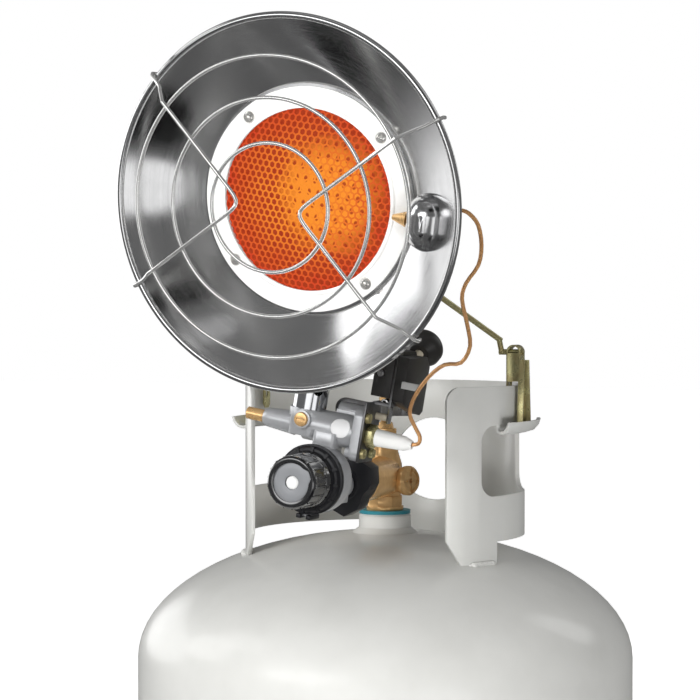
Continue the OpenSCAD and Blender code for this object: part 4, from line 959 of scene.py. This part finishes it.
# Soft lamps: name, place, what it is aimed at, width, height and power in watts
LAMPS = (
    ("key_softbox", (-0.60, -1.50, 0.95), (0, 0, 0.42), 0.9, 0.9, 25),
    ("side_softbox", (1.00, -0.95, 0.12), (0, 0, 0.42), 0.6, 0.2, 8),
    ("top_softbox", (-0.45, 0.1, 2.0), (0, 0, 0.42), 1.3, 1.0, 3),
    ("back_softbox", (0.40, 1.60, 0.90), (0, 0, 0.25), 1.2, 1.0, 14),
)

# The camera: its place, what it looks at, and its lens and sensor in millimetres
CAMERA_PLACE = Vector((0.5358, -1.2934, 0.502))
CAMERA_AIM = Vector((-0.0209, -0.0086, 0.4766))
CAMERA_LENS = 111.6
CAMERA_SENSOR = 36

# How strongly the floor is lifted towards white
FLOOR_LIFT = 0.83

# The room that only shiny surfaces see: its radius, its gap to the floor, and its grey at a low
# and at a high height angle
ROOM_RADIUS = 1.35
ROOM_GAP = 0.002
ROOM_HEIGHTS, ROOM_GREYS = (-45.0, 15.0), (0.115, 0.17)

# The card in the burner's mouth, in millimetres on the bowl's axes: its radius and its height
CARD_RADIUS = 54
CARD_HEIGHT = -0.5

# Bright patches of that room: compass angle from the front towards +X, height angle, half width
# and half height, all in degrees, and how bright the patch is
MIRRORED_PATCHES = (
    (51, -18, 14, 12, 1.15),
    (-13, 5, 23, 11, 3.0),
    (-108, 1, 24, 14, 2.0),
    (-68, 33, 17, 9, 2.2),
    (-76, 16, 16, 12, 2.6),
    (5, -12, 20, 8, 1.3),
    (141, 22, 8, 16, 2.0),
    (100, 40, 14, 12, 0.8),
    (-10, 72, 60, 9, 0.28),
    (20, 46, 14, 5, 0.35),
)
# Dark patches, given in the same way; each takes this share of the light
MIRRORED_SHADES = (
    (52, -50, 22, 15),
    (-12, -34, 17, 8),
    (33, 25, 14, 10),
)
SHADE_SHARE = 0.93
# The outline of a patch, where 2 is an oval and more is squarer, and where its edge fades
PATCH_OUTLINE = 2.6
PATCH_FADE = (0.35, 1.5)


def soft_lamp(name, place, aim, width, height, power):
    """A wide soft lamp that no mirror shows."""
    light = bpy.data.lights.new(name, "AREA")
    light.shape = "RECTANGLE"
    light.size = width
    light.size_y = height
    light.energy = power
    lamp = bpy.data.objects.new(name, light)
    lamp.location = place
    lamp.rotation_mode = "QUATERNION"
    lamp.rotation_quaternion = (Vector(aim) - Vector(place)).to_track_quat("-Z", "Y")
    lamp.visible_glossy = False
    bpy.context.scene.collection.objects.link(lamp)


def only_mirrored(card):
    """Makes a piece of the stage one that only mirror-like rays see."""
    for ray in ("camera", "diffuse", "shadow", "transmission", "volume_scatter"):
        setattr(card, "visible_" + ray, False)


def room_tone(tree):
    """How bright the mirrored room is in each direction: a grey room with soft patches."""
    reach = vector_calc(tree, "NORMALIZE", object_point(tree))
    parts = add_node(tree, "ShaderNodeSeparateXYZ", {0: reach}).outputs
    ahead = calc(tree, "MULTIPLY", parts["Y"], -1.0)
    compass = calc(tree, "DEGREES", calc(tree, "ARCTAN2", parts["X"], ahead))
    height = calc(tree, "DEGREES", calc(tree, "ARCSINE", parts["Z"]))

    def far(gap, half):
        share = calc(tree, "ABSOLUTE", calc(tree, "DIVIDE", gap, half))
        return calc(tree, "POWER", share, PATCH_OUTLINE)

    def patch(turn, rise, wide, tall):
        across = calc(tree, "WRAP", calc(tree, "SUBTRACT", compass, turn), 180.0, -180.0)
        upward = calc(tree, "SUBTRACT", height, rise)
        away = calc(tree, "ADD", far(across, wide), far(upward, tall))
        return spread(tree, away, PATCH_FADE, (1.0, 0.0), interpolation_type="SMOOTHSTEP")

    tone = spread(tree, height, ROOM_HEIGHTS, ROOM_GREYS)
    for shade in MIRRORED_SHADES:
        taken = calc(tree, "MULTIPLY", patch(*shade), SHADE_SHARE)
        tone = calc(tree, "MULTIPLY", tone, calc(tree, "SUBTRACT", 1.0, taken))
    for *place, bright in MIRRORED_PATCHES:
        tone = calc(tree, "ADD", tone, calc(tree, "MULTIPLY", patch(*place), bright))
    return tone


def mirrored_room():
    """A wide shell that only shiny surfaces see, flattened just above the floor."""
    bm = bmesh.new()
    bmesh.ops.create_icosphere(bm, subdivisions=5, radius=ROOM_RADIUS)
    bmesh.ops.reverse_faces(bm, faces=bm.faces)
    for corner in bm.verts:
        if BOWL_CENTRE.z + corner.co.z < ROOM_GAP:
            corner.co *= (ROOM_GAP - BOWL_CENTRE.z) / corner.co.z
    room = finished_mesh("mirrored_room", bm, light_only("Mirrored room", room_tone),
                         outward=False)
    room.location = BOWL_CENTRE
    only_mirrored(room)


def burner_tone(tree):
    """How bright the burner's card is: bright at its lower right, dark at its upper left."""
    arm = vector_calc(tree, "SUBTRACT", object_point(tree), BOWL_CENTRE)
    slope = vector_calc(tree, "DOT_PRODUCT", arm, (BOWL_RIGHT - BOWL_UP).normalized())
    climb = calc(tree, "POWER", spread(tree, slope, (-0.042, 0.010), (0.0, 1.0)), 2.4)
    return calc(tree, "ADD", calc(tree, "MULTIPLY", climb, 1.25), 0.04)


def mirrored_burner():
    """A card in the burner's mouth that only shiny surfaces see."""
    bm = bmesh.new()
    bm.faces.new([bm.verts.new(on_bowl(x, y, CARD_HEIGHT)) for x, y in circle(CARD_RADIUS, 64)])
    card = finished_mesh("mirrored_burner", bm, light_only("Mirrored burner", burner_tone),
                         smooth=False, outward=False)
    only_mirrored(card)


def background_seen(tree):
    """1 for the rays that show the background: from the camera, a mirror or glass."""
    path = tree.nodes.new("ShaderNodeLightPath").outputs
    mirrored = calc(tree, "MAXIMUM", path["Is Glossy Ray"], path["Is Transmission Ray"])
    return calc(tree, "MAXIMUM", path["Is Camera Ray"], mirrored)


class HEATER_OT_stage(bpy.types.Operator):
    """Sets the floor, the soft light and the camera"""

    bl_idname = "heater.stage"
    bl_label = "Stage"

    def execute(self, context):
        s = context.scene.heater_stage
        context.scene.view_settings.view_transform = "Standard"
        self.floor(s.floor_size / 2)
        self.sky(context.scene, s.sky)
        for *lamp, power in LAMPS:
            soft_lamp(*lamp, power * s.lamps)
        mirrored_room()
        mirrored_burner()
        self.camera(context.scene)
        return {"FINISHED"}

    def floor(self, half):
        """A pale floor that is lifted towards white but keeps the object's shadow."""
        bm = bmesh.new()
        bm.faces.new([bm.verts.new((x * half, y * half, 0))
                      for x, y in ((-1, -1), (1, -1), (1, 1), (-1, 1))])
        material, tree, inputs = blank_material(
            "Studio floor", {"Roughness": 0.9, "Specular IOR Level": 0.1})
        speck = spread(tree, cloudy(tree, 3.0, 3.0, 0.5), (0.3, 0.7), (0.0, 1.0))
        feed(tree, inputs["Base Color"],
             blend_colours(tree, speck, (0.80, 0.80, 0.80), (0.78, 0.78, 0.78)))
        lift = add_node(tree, "ShaderNodeEmission", {
            "Color": WHITE, "Strength": calc(tree, "MULTIPLY", background_seen(tree), FLOOR_LIFT)})
        both = add_node(tree, "ShaderNodeAddShader", {
            0: tree.nodes["Principled BSDF"].outputs[0], 1: lift.outputs[0]})
        feed(tree, tree.nodes["Material Output"].inputs["Surface"], both.outputs[0])
        finished_mesh("studio_floor", bm, material, smooth=False, outward=False)

    def sky(self, scene, strength):
        """Even light from all round, and a white background."""
        world = scene.world or bpy.data.worlds.new("Studio")
        scene.world = world
        world.use_nodes = True
        tree = world.node_tree
        tree.nodes.clear()
        around = add_node(tree, "ShaderNodeBackground", {"Color": WHITE, "Strength": strength})
        backdrop = add_node(tree, "ShaderNodeBackground", {"Color": WHITE, "Strength": 1.0})
        mix = add_node(tree, "ShaderNodeMixShader", {
            0: background_seen(tree), 1: around.outputs[0], 2: backdrop.outputs[0]})
        add_node(tree, "ShaderNodeOutputWorld", {"Surface": mix.outputs[0]})

    def camera(self, scene):
        """The camera that looks at the head and the upper part of the cylinder."""
        camera = bpy.data.objects.new("camera", bpy.data.cameras.new("camera"))
        camera.data.lens = CAMERA_LENS
        camera.data.sensor_width = CAMERA_SENSOR
        camera.location = CAMERA_PLACE
        camera.rotation_mode = "QUATERNION"
        camera.rotation_quaternion = (CAMERA_AIM - CAMERA_PLACE).to_track_quat("-Z", "Y")
        scene.collection.objects.link(camera)
        scene.camera = camera


# ---------------- add-on

OPERATORS = (
    HEATER_OT_shared_effects,
    HEATER_OT_paint_cylinder,
    HEATER_OT_finish_brass,
    HEATER_OT_finish_castings,
    HEATER_OT_finish_controls,
    HEATER_OT_finish_bowl,
    HEATER_OT_finish_bail,
    HEATER_OT_burner_screen,
    HEATER_OT_burner_plaque,
    HEATER_OT_weld_beads,
    HEATER_OT_dial_hub,
    HEATER_OT_blank_sticker,
    HEATER_OT_button_coil,
    HEATER_OT_stage,
)


class HEATER_PT_panel(bpy.types.Panel):
    """Lists the heater's sizes, colours and steps"""

    bl_idname = "HEATER_PT_panel"
    bl_label = "Propane heater"
    bl_space_type = "VIEW_3D"
    bl_region_type = "UI"
    bl_category = "Heater"

    def draw(self, context):
        for name, settings in SETTINGS:
            box = self.layout.box()
            for key in settings.__annotations__:
                box.prop(getattr(context.scene, name), key)
        for operator in OPERATORS:
            self.layout.operator(operator.bl_idname)


def register():
    """Registers the settings, the operators and the panel."""
    for name, settings in SETTINGS:
        bpy.utils.register_class(settings)
        setattr(bpy.types.Scene, name, bpy.props.PointerProperty(type=settings))
    for operator in OPERATORS:
        bpy.utils.register_class(operator)
    bpy.utils.register_class(HEATER_PT_panel)


def unregister():
    """Takes all of them away again."""
    bpy.utils.unregister_class(HEATER_PT_panel)
    for operator in reversed(OPERATORS):
        bpy.utils.unregister_class(operator)
    for name, settings in reversed(SETTINGS):
        delattr(bpy.types.Scene, name)
        bpy.utils.unregister_class(settings)


def main():
    """Runs every step in order."""
    register()
    for operator in OPERATORS:
        group, name = operator.bl_idname.split(".")
        getattr(getattr(bpy.ops, group), name)()


if __name__ == "__main__":
    main()
